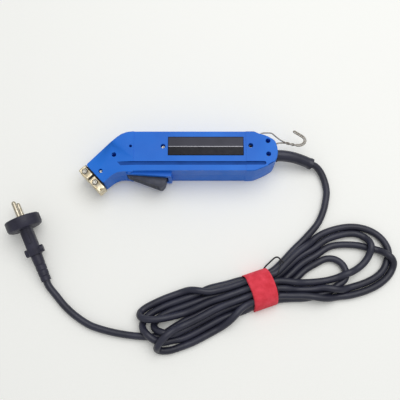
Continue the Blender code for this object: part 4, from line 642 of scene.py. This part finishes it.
# Silver ink: fine metal flakes in a clear binder, a little uneven.
ink_silver, tree, shader, places = new_finish("silver_ink", {"Metallic": 0.75, "Roughness": 0.4})
tree.links.new(
    two_tone(tree, speckle(tree, places, 1200, 3, 0, 1), "#808086", "#A4A4AA"), shader.inputs["Base Color"]
)
finish_piece(plate, film_black, "plate_film", "body", "rating_plate")
plate.data.materials.append(ink_silver)
plate.data.materials.append(film_painted_reflection)
# The silver line takes the ink. The far half takes the grey of the painted reflection.
for face in plate.data.polygons:
    if abs(face.center.y - LINE_Y) < LINE_HALF and face.normal.z > 0.9:
        face.material_index = 1
    elif face.center.y > LINE_Y:
        face.material_index = 2

# ---- clamp blocks, their screws and the board behind them -----------------------------------------
# Nickel-plated brass blocks, milled and tumbled, with hexagon-socket screws that pinch the hot wire,
# on a black phenolic board that keeps them off the housing.
nickel, tree, shader, places = new_finish("nickel_plated_brass", {"Metallic": 1.0, "Roughness": 0.3})
tree.links.new(
    two_tone(tree, speckle(tree, places, 260, 5, 0, 1), "#CDBC98", "#EBE2CA"), shader.inputs["Base Color"]
)
tree.links.new(speckle(tree, places, 500, 4, 0.24, 0.46), shader.inputs["Roughness"])
raise_bumps(tree, shader, speckle(tree, places, 900, 5, 0, 1), 0.00004)

for block in ("clamp_block_short", "clamp_block_long"):
    finish_piece(dressed(block, bevel=0.00025), nickel, "nickel_brass", "body", block)

# Zinc-plated steel: bright, slightly milky and a little yellowed, with fine pits.
plated_steel, tree, shader, places = new_finish("zinc_plated_steel", {"Metallic": 1.0, "Roughness": 0.32})
tree.links.new(
    two_tone(tree, speckle(tree, places, 700, 4, 0, 1), "#A9A69C", "#D6D3CA"), shader.inputs["Base Color"]
)
tree.links.new(speckle(tree, places, 900, 3, 0.25, 0.42), shader.inputs["Roughness"])
raise_bumps(tree, shader, speckle(tree, places, 1500, 3, 0, 1), 0.00003)

screws = ["clamp_screw_short", "clamp_screw_long", "cable_clamp_screw_1", "cable_clamp_screw_2"]
for screw in screws + [f"housing_screw_{i}" for i in range(1, 8)]:
    finish_piece(dressed(screw, bevel=0.00008), plated_steel, "plated_steel", "body", screw)

# Phenolic board: black, matt, with a faint paper grain.
phenolic, tree, shader, places = new_finish("phenolic_board", {"Roughness": 0.6})
tree.links.new(
    two_tone(tree, speckle(tree, places, 400, 4, 0, 1), "#15130F", "#2A251D"), shader.inputs["Base Color"]
)
raise_bumps(tree, shader, speckle(tree, places, 1600, 3, 0, 1), 0.00003)
finish_piece(dressed("clamp_insulator"), phenolic, "black_board", "body", "clamp_insulator")

# ---- trigger and its spring --------------------------------------------------------------------------
# A dark grey lever moulded of glass-filled nylon, with grip grooves along its press face. It turns on
# a steel pin, and a coil spring holds it out.
nylon_grey, tree, shader, places = new_finish("glass_filled_nylon", {"Roughness": 0.5, "IOR": 1.53})
tree.links.new(
    two_tone(tree, speckle(tree, places, 120, 4, 0, 1), "#2A2D3C", "#3B3F50"), shader.inputs["Base Color"]
)
tree.links.new(speckle(tree, places, 300, 4, 0.42, 0.6), shader.inputs["Roughness"])
raise_bumps(tree, shader, speckle(tree, places, 2600, 3, 0, 1), 0.00003)
finish_piece(dressed("trigger", bevel=0.0002), nylon_grey, "dark_moulding", "trigger", "trigger")

# Bright spring wire, coiled. It stands in a pocket of the lever and turns with it, and its far end is
# pressed back by the seat in the housing to under half its length.
spring_wire, tree, shader, places = new_finish("bright_spring_wire", {"Metallic": 1.0, "Roughness": 0.3})
tree.links.new(
    two_tone(tree, speckle(tree, places, 800, 4, 0, 1), "#8C8C8C", "#B4B4B4"), shader.inputs["Base Color"]
)
spring = dressed("trigger_spring", crease=60)
finish_piece(spring, spring_wire, "spring_steel", "trigger", "trigger_spring")
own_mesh(spring)

# ---- sleeve ----------------------------------------------------------------------------------------
# A thick moulded rubber sleeve that keeps the flex from kinking, with a collar at the housing and a
# lipped mouth that the flex comes out of.
SLEEVE = 0.0062
SLEEVE_Y = 0.0085
SLEEVE_Z = 0.0190
SLEEVE_STEP = 0.0012
SLEEVE_SIDES = 32
MOUTH_FLARE = 0.0007
MOUTH_STEPS = 3
MOUTH_RIM = 0.0003      # the rounded rim, the lip inside it and how deep the flex comes out
MOUTH_LIP = 0.0022
MOUTH_DEPTH = 0.0018
SLEEVE_STRAIGHT = [     # x, radius. The first two are inside, slim enough for the hook to swing past
    (0.0820, 0.0061), (0.0838, 0.0061), (0.0839, SLEEVE), (0.0885, SLEEVE), (0.0886, 0.0069),
    (0.0888, 0.0071), (0.0896, 0.0071), (0.0898, 0.0069), (0.0899, SLEEVE),
]
SLEEVE_ROUTE = [
    (0.0900, SLEEVE_Y, SLEEVE_Z), (0.0984, 0.0084, 0.0184), (0.1084, 0.0074, 0.0166),
    (0.1164, 0.0059, 0.0142), (0.1234, 0.0041, 0.0119), (0.1302, 0.0017, 0.0098),
]
sleeve_line = smooth_line(SLEEVE_ROUTE, SLEEVE_STEP)
last = len(sleeve_line) - 1
sleeve_radii = [
    SLEEVE + MOUTH_FLARE * max(0.0, 1 - (last - i) / MOUTH_STEPS) ** 2 for i in range(last + 1)
]
sleeve = swept(
    "flex_sleeve",
    [(x, SLEEVE_Y, SLEEVE_Z) for x, _ in SLEEVE_STRAIGHT] + [tuple(spot) for spot in sleeve_line[1:]],
    [radius for _, radius in SLEEVE_STRAIGHT] + sleeve_radii[1:],
    SLEEVE_SIDES,
)
mouth = Vector(sleeve_line[-1])
for face in sleeve.data.polygons:
    face.select = (face.center - mouth).length < 0.001 and len(face.vertices) > 8
bpy.ops.object.mode_set(mode="EDIT")
bpy.ops.mesh.select_mode(type="FACE")
bpy.ops.mesh.inset(thickness=MOUTH_RIM)
bpy.ops.mesh.inset(thickness=MOUTH_LIP)
bpy.ops.mesh.extrude_region_move(
    TRANSFORM_OT_translate={"value": (Vector(sleeve_line[-3]) - mouth).normalized() * MOUTH_DEPTH}
)
bpy.ops.object.mode_set(mode="OBJECT")
bpy.ops.object.shade_smooth_by_angle(angle=math.radians(45))
finish_piece(sleeve, flex_rubber, "black_rubber", "body", "cable_sleeve")

# ---- hook ------------------------------------------------------------------------------------------
# Bare drawn steel wire, 1.6 mm, twisted and doubled back as a hook. It is bent round inside the
# housing and swings in two holes there.
steel_wire, tree, shader, places = new_finish("drawn_steel_wire", {"Metallic": 1.0, "Roughness": 0.36})
tree.links.new(
    two_tone(tree, speckle(tree, places, 180, 4, 0, 1), "#7A6E60", "#B5B2AC"), shader.inputs["Base Color"]
)
tree.links.new(speckle(tree, places, 500, 3, 0.28, 0.5), shader.inputs["Roughness"])
raise_bumps(tree, shader, speckle(tree, places, 1800, 3, 0, 1), 0.00002)
finish_piece(dressed("hook_wire", crease=60), steel_wire, "hook_steel", "hook", "hook_wire")

# ---- plug ------------------------------------------------------------------------------------------
# A moulded black PVC plug: a round head with two pins, earth springs in its sides, a flat neck with
# a ridge and finger grips, and a ribbed relief for the flex.
# Moulded PVC: black with a faint violet cast, satin, with a fine grain and duller patches.
pvc_black, tree, shader, places = new_finish(
    "moulded_pvc_black", {"Roughness": 0.45, "IOR": 1.52, "Specular IOR Level": 0.4}
)
tree.links.new(
    two_tone(tree, speckle(tree, places, 90, 4, 0, 1), "#222130", "#323142"), shader.inputs["Base Color"]
)
tree.links.new(speckle(tree, places, 160, 4, 0.38, 0.55), shader.inputs["Roughness"])
raise_bumps(tree, shader, speckle(tree, places, 1500, 3, 0, 1), 0.00004)
finish_piece(dressed("plug_body", bevel=0.0004), pvc_black, "black_moulding", "body", "plug_body")

RELIEF_LENGTH = 0.0302
RELIEF_TIP = 0.0054
RELIEF_BASE = 0.0063
RELIEF_STEPS = 100
RELIEF_SIDES = 32
RELIEF_GROOVES = (0.0055, 0.0120, 0.0185)
RELIEF_GROOVE_DEPTH = 0.0006
RELIEF_GROOVE_HALF = 0.0009
relief_steps = [RELIEF_LENGTH * i / RELIEF_STEPS for i in range(RELIEF_STEPS + 1)]
relief_radii = []
for along in relief_steps:
    nearest = min(abs(along - groove) for groove in RELIEF_GROOVES)
    cut = RELIEF_GROOVE_DEPTH * max(0.0, 1 - nearest / RELIEF_GROOVE_HALF)
    relief_radii.append(RELIEF_TIP + (RELIEF_BASE - RELIEF_TIP) * along / RELIEF_LENGTH - cut)
relief_line = [PLUG_PLACE @ Vector((0, 0, along)) for along in relief_steps]
relief = swept("plug_relief", relief_line, relief_radii, RELIEF_SIDES)
finish_piece(relief, pvc_black, "black_moulding", "body", "plug_strain_relief")

# Nickel-plated brass pins and earth springs: warm, bright and smooth, with dull patches from use.
pin_metal, tree, shader, places = new_finish("plated_brass_pin", {"Metallic": 1.0, "Roughness": 0.25})
tree.links.new(
    two_tone(tree, speckle(tree, places, 300, 4, 0, 1), "#A99E88", "#D0C9B8"), shader.inputs["Base Color"]
)
tree.links.new(speckle(tree, places, 600, 4, 0.2, 0.36), shader.inputs["Roughness"])
for metal in ("plug_pin_upper", "plug_pin_lower", "plug_earth_clip_1", "plug_earth_clip_2"):
    finish_piece(dressed(metal), pin_metal, "pin_brass", "body", metal)

# ---- working parts inside the housing ----------------------------------------------------------------
# Transformer, copper bars, switch, leads and the trigger's pin, as such cutters hold them between the
# shells. They show only when the shells are off, and keep the frame's own meshes.


def plain_finish(name, first, second, roughness, metallic, grain, depth):
    """A two-toned finish with a fine grain, for the parts inside."""
    material, tree, shader, places = new_finish(name, {"Metallic": metallic, "Roughness": roughness})
    share = speckle(tree, places, grain, 4, 0, 1)
    tree.links.new(two_tone(tree, share, first, second), shader.inputs["Base Color"])
    raise_bumps(tree, shader, share, depth)
    return material


INNER_FINISHES = [      # name, two colours, roughness, metallic, specks a metre, depth, nodes
    ("rolled_copper", "#B4653C", "#D08A5C", 0.3, 1.0, 400, 0.00003, "bar_far", "bar_near"),
    ("stacked_steel", "#4E5052", "#7C7E80", 0.4, 1.0, 900, 0.00008, "transformer_core"),
    ("moulded_nylon", "#D8D0B8", "#EAE4D0", 0.5, 0.0, 300, 0.00003, "transformer_bobbin"),
    ("enamelled_copper", "#8A3A1C", "#B4552C", 0.3, 0.6, 1200, 0.0001,
     "primary_winding", "secondary_winding"),
    ("pin_steel", "#8C8C8C", "#B4B4B4", 0.3, 1.0, 800, 0.00002, "trigger_pin"),
    ("switch_bakelite", "#17171A", "#26262B", 0.45, 0.0, 600, 0.00003, "switch_body", "cable_clamp"),
    ("red_acetal", "#B8201C", "#D23A30", 0.35, 0.0, 500, 0.00002, "switch_plunger"),
    ("brown_pvc", "#5A3018", "#70401F", 0.4, 0.0, 500, 0.00002, "live_lead", "switched_lead"),
    ("blue_pvc", "#1C4C9C", "#2C62B8", 0.4, 0.0, 500, 0.00002, "neutral_lead"),
    ("inner_sheath", "#1F1E27", "#2F2D39", 0.45, 0.0, 400, 0.00003, "cord_inner_end"),
]
for name, first, second, roughness, metallic, grain, depth, *nodes in INNER_FINISHES:
    material = plain_finish(name, first, second, roughness, metallic, grain, depth)
    for node in nodes:
        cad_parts[node].data.materials.clear()
        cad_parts[node].data.materials.append(material)
